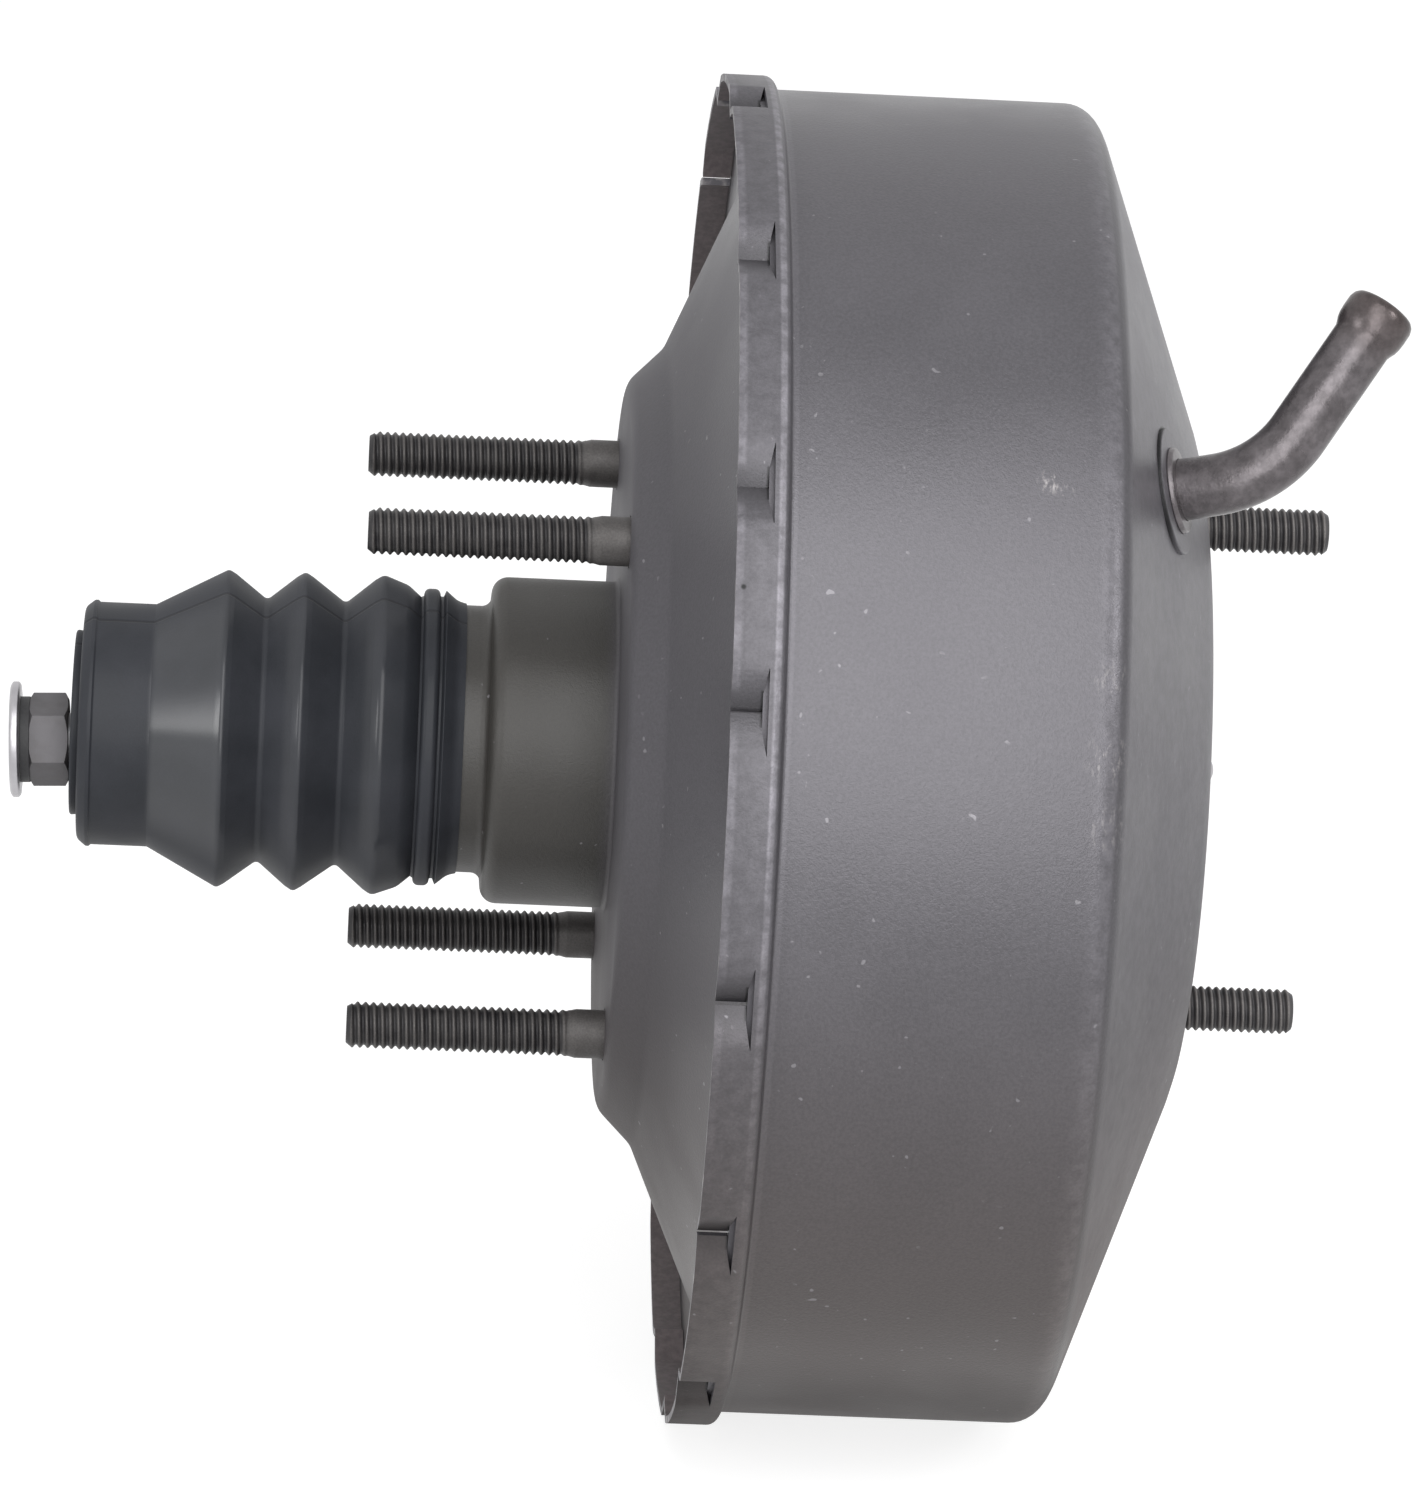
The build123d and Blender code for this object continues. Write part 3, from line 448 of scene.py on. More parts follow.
def makeNipplePaint():
    finish = Finish("nipple paint", Metallic=0.65)
    cloud = finish.noise(5, 3).between(0.3, 0.7)
    grain = finish.noise(0.45, 2)
    blotch = finish.noise(1.4, 3, 0.6).between(0.3, 0.7)
    colour = finish.mix(cloud, (0.092, 0.083, 0.087), (0.132, 0.12, 0.126))
    bead = finish.near(*beadTip, 13)
    colour = finish.mix(bead * 0.75, colour, (0.062, 0.047, 0.044))
    colour = finish.shade(colour, 0.7 + 0.25 * grain + 0.35 * blotch)
    finish.put(finish.shader.inputs["Base Color"], colour)
    finish.put(finish.shader.inputs["Roughness"], 0.25 + 0.1 * cloud)
    finish.bump(grain, 0.03)
    return finish.material


def makeBlackSteel():
    finish = Finish("black phosphate", Metallic=0.3, Specular_IOR_Level=0.35)
    cloud = finish.noise(3, 3).between(0.3, 0.7)
    grain = finish.noise(0.3, 2)
    colour = finish.mix(cloud, (0.026, 0.025, 0.027), (0.048, 0.046, 0.047))
    # Both rows of studs stand above and below the axis, and the rear one to its sides too
    aside = finish.y.maths("ABSOLUTE") - studAside * (1 - finish.x.between(40, 50))
    above = finish.z.maths("ABSOLUTE") - studAbove
    crest = (aside * aside + above * above).maths("SQRT").between(3.4, 3.65)
    colour = finish.mix(crest * (0.35 + 0.4 * grain), colour, (0.15, 0.14, 0.135))
    # Painted light: the studs at the front, past x = 60 mm, are made lighter
    tone = 0.72 + 0.36 * grain + 0.7 * finish.x.between(60, 80)
    finish.put(finish.shader.inputs["Base Color"], finish.shade(colour, tone))
    finish.put(finish.shader.inputs["Roughness"], 0.42 + 0.15 * cloud)
    finish.bump(grain, 0.02)
    return finish.material


def makeRubber():
    finish = Finish("moulded rubber", Specular_IOR_Level=0.2, Coat_Roughness=0.2)
    cloud = finish.noise(12, 3).between(0.3, 0.7)
    grain = finish.noise(0.35, 2)
    partingAngle = math.radians(71)
    across = finish.y * math.sin(partingAngle) + finish.z * math.cos(partingAngle)
    line = 1 - across.maths("ABSOLUTE").between(0.15, 0.5)
    colour = finish.mix(cloud, (0.024, 0.026, 0.031), (0.035, 0.037, 0.044))
    colour = finish.mix(line * 0.6, colour, (0.012, 0.012, 0.014))
    finish.put(finish.shader.inputs["Base Color"], finish.shade(colour, 0.9 + 0.2 * grain))
    finish.put(finish.shader.inputs["Roughness"], 0.48 + 0.1 * cloud)
    cone = finish.x.band((-74.5, -73), (-63.5, -62))
    folds = finish.x.band((-64, -62), (-32.5, -31.5))
    facing = finish.add("ShaderNodeLayerWeight", {}, {"Blend": 0.5}, "Facing")
    shine = 0.04 + 0.8 * cone + 0.35 * folds * finish.radius().between(23.4, 24.6)
    finish.put(finish.shader.inputs["Coat Weight"], shine * (1 - facing.between(0.25, 0.6)))
    finish.bump(0.25 * grain - line, 0.08)
    return finish.material


def makeMetal(name, dark, light, roughness, metallic=0.9, turned=0.0):
    # turned goes from an even grain at 0 to lathe lines around the axis at 1
    finish = Finish(name, Metallic=metallic)
    cloud = finish.noise(4, 3).between(0.3, 0.7)
    grain = finish.noise(0.4, 2)
    lines = finish.noise(0.25, 2, place=finish.stretched(1, 0.02, 0.02))
    finish.put(finish.shader.inputs["Base Color"], finish.mix(cloud, dark, light))
    finish.put(finish.shader.inputs["Roughness"], roughness - 0.05 + 0.1 * cloud)
    finish.bump((1 - turned) * grain + turned * lines, 0.02)
    return finish.material


def makeMatt(name, dark, light, roughness, size, depth):
    # size and depth are those of the grain
    finish = Finish(name)
    texture = finish.noise(size, 4, 0.65)
    colour = finish.mix(texture.between(0.3, 0.7), dark, light)
    finish.put(finish.shader.inputs["Base Color"], colour)
    finish.put(finish.shader.inputs["Roughness"], roughness - 0.05 + 0.1 * texture)
    finish.bump(texture, depth)
    return finish.material


shellPaint = makePaint()
innerPaint = makeMatt("inner paint", (0.13, 0.112, 0.114), (0.19, 0.162, 0.165), 0.5, 1.2, 0.03)
wornEdge = makeWornEdge()
nipplePaint = makeNipplePaint()
blackSteel = makeBlackSteel()
bootRubber = makeRubber()
zincSteel = makeMetal("zinc plate", (0.38, 0.37, 0.39), (0.48, 0.47, 0.49), 0.36)
nutSteel = makeMetal("dull zinc", (0.092, 0.088, 0.092), (0.135, 0.13, 0.138), 0.55, metallic=0.35)
turnedSteel = makeMetal("turned steel", (0.20, 0.20, 0.21), (0.28, 0.28, 0.29), 0.38, turned=0.8)
springSteel = makeMetal("spring wire", (0.24, 0.24, 0.25), (0.32, 0.32, 0.33), 0.35)
sealRubber = makeMatt("seal rubber", (0.022, 0.022, 0.024), (0.034, 0.034, 0.036), 0.6, 0.5, 0.03)
bodyPlastic = makeMatt("moulded phenolic", (0.035, 0.034, 0.033), (0.055, 0.053, 0.051), 0.5, 0.6, 0.03)
filterFelt = makeMatt("pressed felt", (0.36, 0.33, 0.27), (0.5, 0.47, 0.4), 0.95, 0.35, 0.2)
silencerFoam = makeMatt("open foam", (0.05, 0.05, 0.05), (0.14, 0.14, 0.14), 0.95, 0.8, 0.4)
print("materials ready")


# Vacuum nipple: bent tube with a seating flange and a hose bead at the tip
nipple = {
    "base": nippleBase,
    "way": (0.9366, -0.2433, 0.2519),
    "tipWay": (0.54, 0.32, 0.778),
    "radius": 4.75,
    "wall": 1.25,
    "inside": 3.0,
    "firstRun": 15.0,
    "lastRun": 32.0,
    "bend": 17.0,
    "bendSteps": 24,
    "around": 64,
    "bead": [(-6.4, 4.75), (-5.8, 4.95), (-5.1, 5.25), (-4.2, 5.45), (-3.0, 5.52), (-1.4, 5.5),
             (-0.6, 5.25), (-0.15, 4.85), (0, 4.4)],
    "flange": [(0.5, 4.85), (0.5, 6.8, 0.3), (1.5, 6.5, 0.4), (1.6, 4.85)],
}


def makeNipple():
    way = Vector(nipple["way"]).normalized()
    tipWay = Vector(nipple["tipWay"]).normalized()
    turn = way.angle(tipWay)
    tangent = nipple["bend"] * math.tan(turn / 2)
    deselectAll()
    bpy.ops.mesh.primitive_circle_add(vertices=nipple["around"], radius=nipple["radius"] * mm)
    piece = bpy.context.object
    piece.name = piece.data.name = "vacuumNipple"
    start = Vector(nipple["base"]) - way * nipple["inside"]
    upright = Vector((0, 0, 1)).rotation_difference(way).to_matrix().to_4x4()
    piece.data.transform(Matrix.Translation(start * mm) @ upright)
    bpy.ops.object.mode_set(mode="EDIT")
    bpy.ops.mesh.select_all(action="SELECT")
    step = way * (nipple["inside"] + nipple["firstRun"] - tangent) / 2 * mm
    for _ in range(2):
        bpy.ops.mesh.extrude_region_move(TRANSFORM_OT_translate={"value": step})
    inward = (tipWay - way * way.dot(tipWay)).normalized()
    bendStart = Vector(nipple["base"]) + way * (nipple["firstRun"] - tangent)
    centre = bendStart + inward * nipple["bend"]
    axis = way.cross(tipWay).normalized()
    bpy.ops.mesh.spin(steps=nipple["bendSteps"], angle=-turn, center=centre * mm, axis=axis)
    tip = Vector(nipple["base"]) + way * nipple["firstRun"] + tipWay * nipple["lastRun"]
    run = -(nipple["lastRun"] - tangent)
    radius = nipple["radius"]
    for place, ringRadius in nipple["bead"]:
        step = tipWay * (place - run) * mm
        bpy.ops.mesh.extrude_region_move(TRANSFORM_OT_translate={"value": step})
        scale = ringRadius / radius
        middle = (tip + tipWay * place) * mm
        bpy.ops.transform.resize(value=(scale, scale, scale), center_override=middle)
        run, radius = place, ringRadius
    closeUp()
    firstRing = piece.data.polygons[10]
    if firstRing.normal.dot(firstRing.center - start * mm) < 0:
        piece.data.flip_normals()
    dress(piece, nipplePaint)
    thicken(piece, nipple["wall"])
    flange = lathe("nippleFlange", nipple["flange"], nipple["around"])
    dress(flange, nipplePaint)
    turnTo(flange, nipple["base"], way)
    return joinPieces([piece, flange], "vacuumNipple")


# Front shell: rolled rim with lances, drum, cone, front face and pocket
frontShell = {
    "wall": 1.2,
    "rimRadius": 108.55,
    "rimStart": 13.1,
    "rimEnd": 20.9,
    "rimRounding": 1.6,
    "footRounding": 0.6,
    "footReach": 0.2,
    "footEnd": 2.4,
    "drumRadius": 106.4,
    "drumMiddle": 45,
    "drumEnd": 71.4,
    "drumRounding": 5,
    "faceX": 91.3,
    "faceRadius": 53.2,
    "faceRounding": 25,
    "pocketRadius": 17.0,
    "pocketFloor": 79.3,
    "pocketRounding": 2,
    "sealHole": 8.2,
    "lanceAngles": [95.5, 122.0, 144.8, 163.3, 187.1, 210.0, 234.5],
    "lancePitch": 22.1,
    "lanceRepeats": 9,
    "lanceWidth": 13.0,
    "tongueEnd": 17.8,
    "slotEnd": 18.6,
    "gapStart": 0.06,
    "gap": 0.85,
    "gapGrowth": 1.6,
    "upperDepth": 3.1,
    "lowerDepth": 2.3,
    "pressCurve": 1.15,
    "slit": 0.12,
    "columns": 10,
    "studHole": 4.2,
    "padAround": 96,
    "pad": [(-0.7, 0), (-0.7, 9.8), (0.6, 9.8, 0.3), (0.6, 0)],
}


def pressLance(mesh, middle, halfWidth):
    # Opens the slot of a lance and presses its two tongues in, most at the shear between them
    size = frontShell

    def fromMiddle(place):
        return (math.atan2(place.z, place.y) - middle + math.pi) % (2 * math.pi) - math.pi

    tongues = []
    for face in list(mesh.faces):
        centre = face.calc_center_median()
        angle = fromMiddle(centre)
        if abs(angle) < halfWidth and centre.x < size["slotEnd"] * mm:
            if centre.x > size["tongueEnd"] * mm:
                mesh.faces.remove(face)
            else:
                tongues.append((face, 1 if angle > 0 else -1))
    edges = {edge for face, side in tongues for edge in face.edges}
    shear = [
        edge for edge in edges
        if all(abs(fromMiddle(vert.co)) < sameAngle for vert in edge.verts)
    ]
    bmesh.ops.split_edges(mesh, edges=shear)
    sides = {vert: side for face, side in tongues for vert in face.verts}
    for vert, side in sides.items():
        depth = size["lowerDepth"] if side > 0 else size["upperDepth"]
        share = 1 - min(1, abs(fromMiddle(vert.co)) / halfWidth)
        outward = Vector((0, vert.co.y, vert.co.z)).normalized()
        vert.co -= outward * depth * mm * share ** size["pressCurve"]
        vert.co += alongX.cross(outward) * side * size["slit"] * mm * share
        if abs(vert.co.x - size["tongueEnd"] * mm) < sameLength * mm:
            opened = min(1, size["gapGrowth"] * share)
            gap = size["gapStart"] + (size["gap"] - size["gapStart"]) * opened
            vert.co.x = (size["slotEnd"] - gap) * mm


def drawFrontProfile():
    size = frontShell
    drum = size["drumRadius"]
    return drawLine("frontShell", [
        (size["rimStart"], size["rimRadius"]),
        (size["tongueEnd"], size["rimRadius"]),
        (size["slotEnd"], size["rimRadius"]),
        (size["rimEnd"], size["rimRadius"], size["rimRounding"]),
        (size["rimEnd"] + size["footReach"], drum, size["footRounding"]),
        (size["rimEnd"] + size["footEnd"], drum),
        (size["drumMiddle"], drum),
        (size["drumEnd"], drum, size["drumRounding"]),
        (size["faceX"], size["faceRadius"], size["faceRounding"]),
        (size["faceX"], size["pocketRadius"], size["pocketRounding"]),
        (size["pocketFloor"], size["pocketRadius"], size["pocketRounding"]),
        (size["pocketFloor"], size["sealHole"]),
    ])


def makeFrontShell():
    size = frontShell
    piece = drawFrontProfile()
    lances = list(size["lanceAngles"])
    for _ in range(size["lanceRepeats"]):
        lances.append(lances[-1] + size["lancePitch"])
    half = math.degrees(math.asin(size["lanceWidth"] / 2 / size["rimRadius"]))
    start = lances[0] - size["lancePitch"] / 2
    halfColumns = size["columns"] // 2
    # Columns of faces that end at the edges and at the shear of each lance
    stops = []
    for lance in lances:
        stops += [(lance - half, size["columns"]), (lance, halfColumns), (lance + half, halfColumns)]
    stops.append((start + 360, halfColumns))
    reached = start
    for stop, steps in stops:
        turn = -math.radians(stop - reached)
        bpy.ops.mesh.spin(steps=steps, angle=turn, center=(0, 0, 0), axis=alongX)
        reached = stop
    bpy.ops.mesh.select_all(action="SELECT")
    bpy.ops.mesh.remove_doubles(threshold=weldReach * mm)
    mesh = bmesh.from_edit_mesh(piece.data)
    for lance in lances:
        pressLance(mesh, math.radians(90 + lance - start), math.radians(half))
    bmesh.update_edit_mesh(piece.data)
    bpy.ops.mesh.select_all(action="SELECT")
    bpy.ops.mesh.normals_make_consistent(inside=False)
    deselectAll()
    piece.data.transform(Matrix.Rotation(math.radians(start - 90), 4, "X"))
    turnOutward(piece, lambda place: Vector((0, place.y, place.z)))
    dress(piece, shellPaint, wornEdge, innerPaint)
    thicken(piece, size["wall"], inner=2)
    holes = [(size["faceX"], y, z) for y, z in cylinderRow]
    drill(piece, holes, alongX, size["studHole"])
    pad = lathe("nipplePad", size["pad"], size["padAround"], closed=False)
    dress(pad, shellPaint)
    turnTo(pad, nipple["base"], nipple["way"])
    return joinPieces([piece, pad], "frontShell")


# Rear shell: nose, deep drawn neck, mounting face, cone and the gutter inside the rim
rearShell = {
    "wall": 1.2,
    "studHole": 4.2,
    "around": 256,
    "profile": [(-31.5, 21.5), (-20.2, 21.5, 1.6), (-20.2, 26.3, 2.6), (0, 26.3, 0.8), (0, 58.5, 4),
                (5.8, 64.3, 5), (17.8, 92, 2.5), (17.8, 106.9)],
}


def makeRearShell():
    piece = lathe("rearShell", rearShell["profile"], rearShell["around"], closed=False)
    turnOutward(piece, lambda place: -alongX)
    dress(piece, shellPaint, wornEdge)
    thicken(piece, rearShell["wall"])
    drill(piece, [(0, y, z) for y, z in bulkheadRow], alongX, rearShell["studHole"])
    return piece


finishPiece(makeFrontShell(), "housing", "front_shell")
finishPiece(makeRearShell(), "housing", "rear_shell")


# Studs: head behind the plate, plain shank and a rolled thread with a chamfered tip
stud = {
    "thread": 3.68,
    "threadDepth": 0.52,
    "pitch": 1.25,
    "chamfer": 0.8,
    "taper": 0.8,
    "rounding": 0.3,
    "shank": 3.88,
    "runOut": 2.2,
    "headRadius": 5.8,
    "headHeight": 1.6,
    "samples": 12,  # slices in one turn of the thread
    "longEdge": 1,
    "around": 40,
}
bulkheadStuds = {"head": 3.7, "shankEnd": -4.5, "tip": -40.8, "places": bulkheadRow}
cylinderStuds = {"head": 87.6, "shankEnd": 91.5, "tip": 113.3, "places": cylinderRow}


def makeBlank(name, size, way, threadStart):
    rounding = stud["rounding"]
    headBack = size["head"] - way * stud["headHeight"]
    return lathe(name, [
        (headBack, 0),
        (headBack, stud["headRadius"], rounding),
        (size["head"], stud["headRadius"], rounding),
        (size["head"], stud["shank"]),
        (size["shankEnd"], stud["shank"], rounding),
        (threadStart, stud["thread"]),
        (size["tip"] - way * stud["chamfer"], stud["thread"]),
        (size["tip"], stud["thread"] - stud["chamfer"], 0.2),
        (size["tip"], 0),
    ], stud["around"], closed=False)


def makeStud(name, size):
    # A plain blank, cut across in fine slices and drawn in where the thread's groove runs
    way = 1 if size["tip"] > size["head"] else -1
    threadStart = size["shankEnd"] + way * stud["taper"]
    piece = makeBlank(name, size, way, threadStart)
    bpy.context.view_layer.objects.active = piece
    bpy.ops.object.mode_set(mode="EDIT")
    slices = abs(size["tip"] - threadStart) / stud["pitch"] * stud["samples"]
    # The long edges of the threaded stretch are cut in two passes, as one makes about a hundred cuts
    for _ in range(2):
        bpy.ops.mesh.select_all(action="DESELECT")
        mesh = bmesh.from_edit_mesh(piece.data)
        for edge in mesh.edges:
            ends = [way * (vert.co.x / mm - threadStart) for vert in edge.verts]
            edge.select_set(min(ends) > -sameLength and max(ends) - min(ends) > stud["longEdge"])
        bpy.ops.mesh.subdivide(number_cuts=round(math.sqrt(slices)) - 1)
    mesh = bmesh.from_edit_mesh(piece.data)
    for vert in mesh.verts:
        run = way * (vert.co.x / mm - threadStart)
        radius = math.hypot(vert.co.y, vert.co.z) / mm
        if run < 0 or radius < stud["thread"] - stud["threadDepth"]:
            continue
        angle = math.atan2(vert.co.z, vert.co.y)
        wave = 0.5 + 0.5 * math.cos(2 * math.pi * vert.co.x / mm / stud["pitch"] - angle)
        depth = stud["threadDepth"] * wave * min(1, run / stud["runOut"])
        drawnIn = min(radius, stud["thread"] - depth) / radius
        vert.co.y *= drawnIn
        vert.co.z *= drawnIn
    deselectAll()
    dress(piece, blackSteel)
    return piece


def makeStuds(name, size):
    first = makeStud(name, size)
    copies = [copyPiece(first, (0, y, z)) for y, z in size["places"]]
    bpy.data.objects.remove(first)
    return joinPieces(copies, name)


for name, size, node in (
    ("bulkheadStuds", bulkheadStuds, "bulkhead_studs"),
    ("cylinderStuds", cylinderStuds, "master_cylinder_studs"),
):
    finishPiece(makeStuds(name, size), "housing", node, smoothAngle=60)


finishPiece(makeNipple(), "housing", "vacuum_nipple")


# Dust boot: lip on the nose, folds, and the tail on the valve body.
# Each profile goes out along the outside and back along the inside.
boot = {
    "lip": [(-24.2, 21.55), (-24.2, 21.75), (-25.6, 22.1, 3), (-27.5, 23.7, 0.1),
            (-27.9, 22.7, 0.2), (-28.4, 22.7, 0.2), (-28.6, 23.9, 0.9), (-30.9, 23.9, 0.9),
            (-31.1, 22.7, 0.2), (-31.5, 22.5), (-31.5, 21.55)],
    "folds": [(-31.5, 22.5), (-33.6, 24.3, 3), (-37.6, 25.8, 1.4), (-39.0, 24.9, 1.4),
              (-43.6, 21.0, 0.9), (-48.9, 24.9, 1.4), (-50.2, 25.7, 0.9), (-51.5, 24.9, 1.4),
              (-56.2, 21.0, 0.9), (-61.3, 24.9, 1.4), (-62.5, 25.6, 0.9), (-63.8, 24.9, 1.4),
              (-73.9, 19.5), (-73.9, 17.8), (-62.4, 23.2, 0.5), (-56.2, 19.4, 0.5),
              (-50.2, 23.2, 0.5), (-43.6, 19.4, 0.5), (-38, 23.2, 0.5), (-33, 21.65),
              (-31.5, 21.65)],
    "tail": [(-73.9, 19.5), (-82.9, 19.5, 0.3), (-83.2, 19.8, 0.15), (-83.7, 19.8, 0.3),
             (-85.2, 18.6, 1.4), (-85.2, 15.4, 0.3), (-84.6, 15.0, 0.1), (-84.6, 8.0),
             (-83.8, 8.0), (-83.6, 17.8), (-73.9, 17.8)],
    "disc": [(-84.8, 11.3), (-84.8, 14.7, 0.2), (-86.5, 14.9, 0.4), (-86.5, 11.3, 0.3)],
    "stroke": 32.0,
    "around": 192,
}


def makeBoot():
    lip = lathe("bootLip", boot["lip"], boot["around"])
    dress(lip, bootRubber)
    finishPiece(lip, "housing", "dust_boot")
    folds = lathe("bootFolds", boot["folds"], boot["around"])
    dress(folds, bootRubber)
    finishPiece(folds, "housing", "dust_boot", smoothAngle=50)
    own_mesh(folds)
    tail = lathe("bootTail", boot["tail"], boot["around"])
    disc = lathe("bootDisc", boot["disc"], boot["around"])
    for piece in (tail, disc):
        dress(piece, bootRubber)
    tail = joinPieces([tail, disc], "bootTail")
    finishPiece(tail, "power_piston", "dust_boot")


makeBoot()


# Coupling nut on the drooping rod: chamfered hexagon, a dark collar and a flange at the free end
nut = {
    "ball": (-18.0, 0, 0),
    "droop": 2.4,
    "start": 69.1,
    "corner": 7.5,
    "turn": 13.7,
    "hexEnd": 6.2,
    "overrun": 1,
    "around": 96,
    "blank": [(0, 4.25), (0, 6.45, 0.1), (0.62, 7.6), (5.6, 7.6), (6.2, 6.6, 0.1), (6.2, 4.25)],
    "collar": [(6.15, 4.25), (6.15, 6.9, 0.15), (7.75, 6.9, 0.15), (7.75, 4.25)],
    "flange": [(7.7, 4.25), (7.7, 8.9, 0.3), (8.0, 9.3, 0.3), (8.95, 9.3, 0.35), (9.3, 8.7, 0.2),
               (9.3, 6.2, 0.2), (9.0, 4.9), (9.0, 4.25)],
}


def makeNut():
    piece = lathe("rodNut", nut["blank"], nut["around"])
    low, high = -nut["overrun"], nut["hexEnd"] + nut["overrun"]
    corners = [(low, 0), (low, nut["corner"]), (high, nut["corner"]), (high, 0)]
    hexagon = lathe("hexagon", corners, 6, closed=False)
    hexagon.data.transform(Matrix.Rotation(math.radians(nut["turn"]), 4, "X"))
    cut = piece.modifiers.new("hexagon", "BOOLEAN")
    cut.operation = "INTERSECT"
    cut.solver = "EXACT"
    cut.object = hexagon
    applyAll(piece)
    bpy.data.objects.remove(hexagon)
    collar = lathe("nutCollar", nut["collar"], nut["around"])
    flange = lathe("nutFlange", nut["flange"], nut["around"])
    dress(piece, nutSteel)
    dress(collar, sealRubber)
    dress(flange, zincSteel)
    piece = joinPieces([piece, collar, flange], "rodNut")
    droop = math.radians(nut["droop"])
    way = Vector((-math.cos(droop), 0, -math.sin(droop)))
    upward = Vector((-math.sin(droop), 0, math.cos(droop)))
    turn = Matrix((way, upward.cross(way), upward)).transposed().to_4x4()
    piece.data.transform(Matrix.Translation((Vector(nut["ball"]) + way * nut["start"]) * mm) @ turn)
    return piece


finishPiece(makeNut(), "input_rod", "rod_nut", smoothAngle=30)


# Springs, coiled over the length of their solids
springs = {
    "returnSpring": {"node": "return_spring", "radius": 31.0, "wire": 2.0, "turns": 5.5,
                     "body": "housing", "joint": "power_stroke", "stroke": 32.0},
    "rodReturnSpring": {"node": "rod_return_spring", "radius": 8.4, "wire": 0.7, "turns": 5.0,
                        "body": "power_piston", "joint": "valve_stroke", "stroke": 1.5},
}
wireSides = 20
turnSteps = 48


def makeSpring(name, size):
    low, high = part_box(size["node"])
    start, end = low[0] / mm, high[0] / mm
    deselectAll()
    bpy.ops.mesh.primitive_circle_add(vertices=wireSides, radius=size["wire"] * mm)
    piece = bpy.context.object
    piece.name = piece.data.name = name
    foot = Vector((start + size["wire"], size["radius"], 0))
    piece.data.transform(Matrix.Translation(foot * mm))
    screw = piece.modifiers.new("coil", "SCREW")
    screw.axis = "X"
    screw.angle = 2 * math.pi * size["turns"]
    screw.screw_offset = (end - start - 2 * size["wire"]) * mm
    screw.steps = screw.render_steps = round(turnSteps * size["turns"])
    applyAll(piece)
    bpy.ops.object.mode_set(mode="EDIT")
    bpy.ops.mesh.select_all(action="SELECT")
    bpy.ops.mesh.fill_holes(sides=0)
    closeUp()
    dress(piece, springSteel)
    finishPiece(piece, size["body"], size["node"], smoothAngle=60)
    keep = 1 - size["stroke"] / (end - start)
    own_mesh(piece)


for name, size in springs.items():
    makeSpring(name, size)


# The other nodes keep their solids and get their finish
nodeFinish = {
    "output_rod_screw": zincSteel,
    "output_rod": zincSteel,
    "diaphragm_plate": zincSteel,
    "plate_ring": zincSteel,
    "seal_retainer": zincSteel,
    "poppet_retainer": zincSteel,
    "stop_key": zincSteel,
    "rear_stud_plate": blackSteel,
    "front_stud_plate": blackSteel,
    "input_rod": turnedSteel,
    "plunger": turnedSteel,
    "poppet_spring": springSteel,
    "diaphragm": sealRubber,
    "rear_seal": sealRubber,
    "front_seal": sealRubber,
    "poppet": sealRubber,
    "reaction_disc": sealRubber,
    "valve_body": bodyPlastic,
    "guide_bush": bodyPlastic,
    "air_filter": filterFelt,
    "silencer": silencerFoam,
}
for name, material in nodeFinish.items():
    cadNodes[name].data.materials.clear()
    cadNodes[name].data.materials.append(material)
print("nodes finished")


# Floor, lamps and world. What the camera and reflections see of floor and world is white
stageSet = {
    "floorZ": -108.7,
    "floorSize": 12.0,
    "floorColour": (0.40, 0.40, 0.40),
    "patchColour": (0.42, 0.42, 0.42),
    "patchSize": 400,
    "floorGlow": (0.82, 0.82, 0.82),
    "worldStrength": 0.45,
}
# Softboxes that face the part, with place and size in metres and power in watts
lamps = {
    "key": {"place": (0.09, -1.48, 0.84), "size": (1.1, 2.16), "power": 25},
    "left": {"place": (-1.14, -0.87, 0.42), "size": (0.35, 0.6), "power": 5},
    "right": {"place": (1.25, -0.85, 0.85), "size": (0.4, 0.5), "power": 6},
}


def watched(nodes, links):
    # 1 on rays from the camera, a mirror or a glass, 0 on rays that light the part
    rays = nodes.new("ShaderNodeLightPath")
    seen = rays.outputs["Is Camera Ray"]
    for label in ("Is Glossy Ray", "Is Transmission Ray"):
        either = nodes.new("ShaderNodeMath")
        either.operation = "MAXIMUM"
        links.new(seen, either.inputs[0])
        links.new(rays.outputs[label], either.inputs[1])
        seen = either.outputs[0]
    return seen


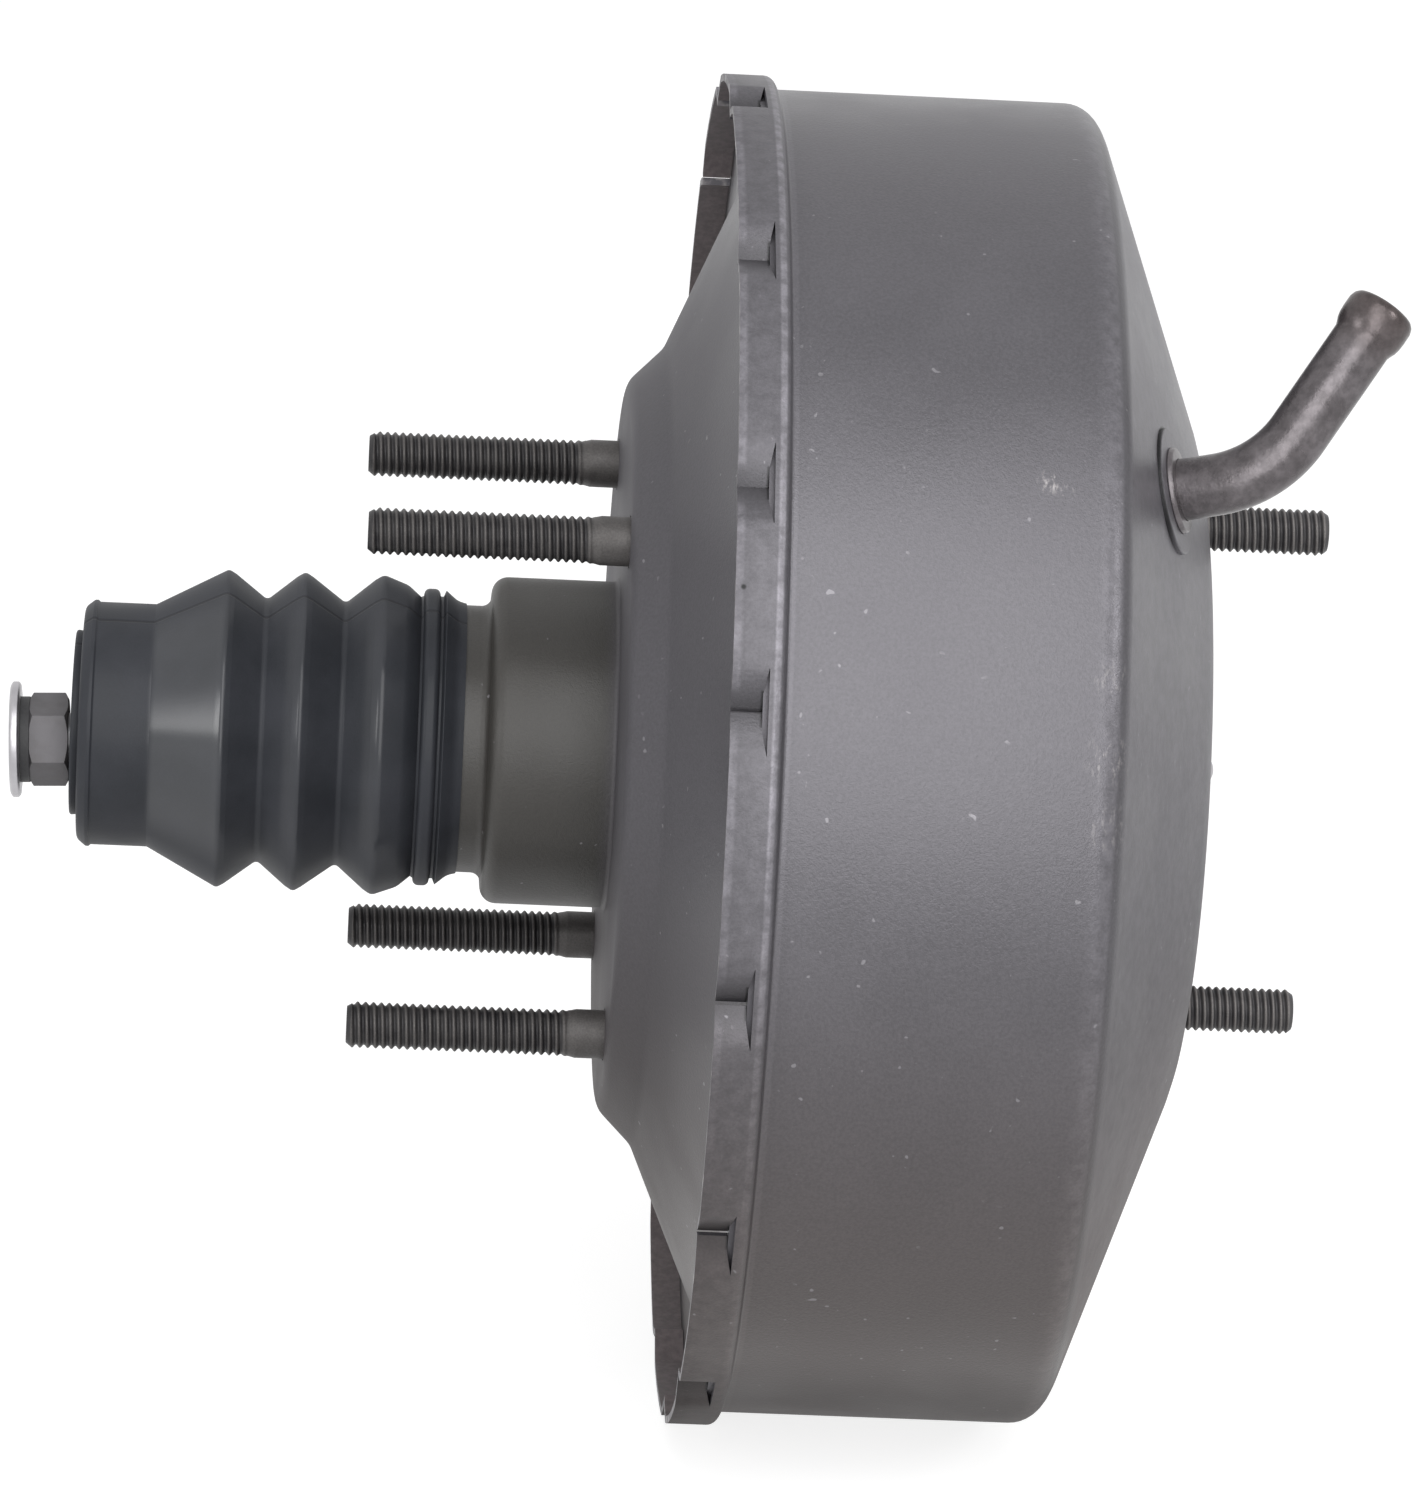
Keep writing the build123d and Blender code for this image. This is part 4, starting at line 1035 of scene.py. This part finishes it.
def makeFloor():
    deselectAll()
    height = stageSet["floorZ"] * mm
    bpy.ops.mesh.primitive_plane_add(size=stageSet["floorSize"], location=(0, 0, height))
    floor = bpy.context.object
    floor.name = "floor"
    finish = Finish("floor", Roughness=0.9, Specular_IOR_Level=0.0, Emission_Strength=1.0)
    patches = finish.noise(stageSet["patchSize"], 2)
    tone = finish.mix(patches, stageSet["floorColour"], stageSet["patchColour"])
    finish.put(finish.shader.inputs["Base Color"], tone)
    seen = Wire(finish, watched(finish.tree.nodes, finish.tree.links))
    glow = finish.mix(seen, (0, 0, 0), stageSet["floorGlow"])
    finish.put(finish.shader.inputs["Emission Color"], glow)
    dress(floor, finish.material)


def makeLamps():
    for name, size in lamps.items():
        bpy.ops.object.light_add(type="AREA", location=size["place"])
        lamp = bpy.context.object
        lamp.name = name
        lamp.data.shape = "RECTANGLE"
        lamp.data.size, lamp.data.size_y = size["size"]
        lamp.data.energy = size["power"]
        lamp.rotation_euler = (-Vector(size["place"])).to_track_quat("-Z", "Y").to_euler()
        lamp.visible_camera = False


def makeWorld():
    world = bpy.data.worlds.new("studio")
    bpy.context.scene.world = world
    world.use_nodes = True
    nodes, links = world.node_tree.nodes, world.node_tree.links
    strength = nodes.new("ShaderNodeMapRange")
    links.new(watched(nodes, links), strength.inputs[0])
    strength.inputs[3].default_value = stageSet["worldStrength"]
    background = nodes["Background"]
    background.inputs["Color"].default_value = (1, 1, 1, 1)
    links.new(strength.outputs[0], background.inputs["Strength"])


# Camera, solved from the stud tips: how the part is turned before it, in degrees, and where it
# stands from it, in millimetres
view = {
    "roll": 2.44,
    "yaw": 3.07,
    "pitch": 13.67,
    "right": -15.99,
    "away": 1212.0,
    "up": 0.83,
    "focalPixels": 7517.0,
    "longSidePixels": 1500.0,
    "clipStart": 0.05,
}


def makeCamera():
    roll = Matrix.Rotation(math.radians(view["roll"]), 3, "Y")
    yaw = Matrix.Rotation(math.radians(view["yaw"]), 3, "Z")
    pitch = Matrix.Rotation(math.radians(view["pitch"]), 3, "X")
    back = (roll @ yaw @ pitch).transposed()
    place = back @ Vector((-view["right"], -view["away"], -view["up"])) * mm
    facing = back @ Matrix.Rotation(math.pi / 2, 3, "X")
    bpy.ops.object.camera_add()
    camera = bpy.context.object
    camera.matrix_world = Matrix.Translation(place) @ facing.to_4x4()
    camera.data.lens = camera.data.sensor_width * view["focalPixels"] / view["longSidePixels"]
    camera.data.clip_start = view["clipStart"]
    bpy.context.scene.camera = camera


makeFloor()
makeLamps()
makeWorld()
makeCamera()
bpy.context.scene.view_settings.view_transform = "Standard"
print("stage and camera ready")
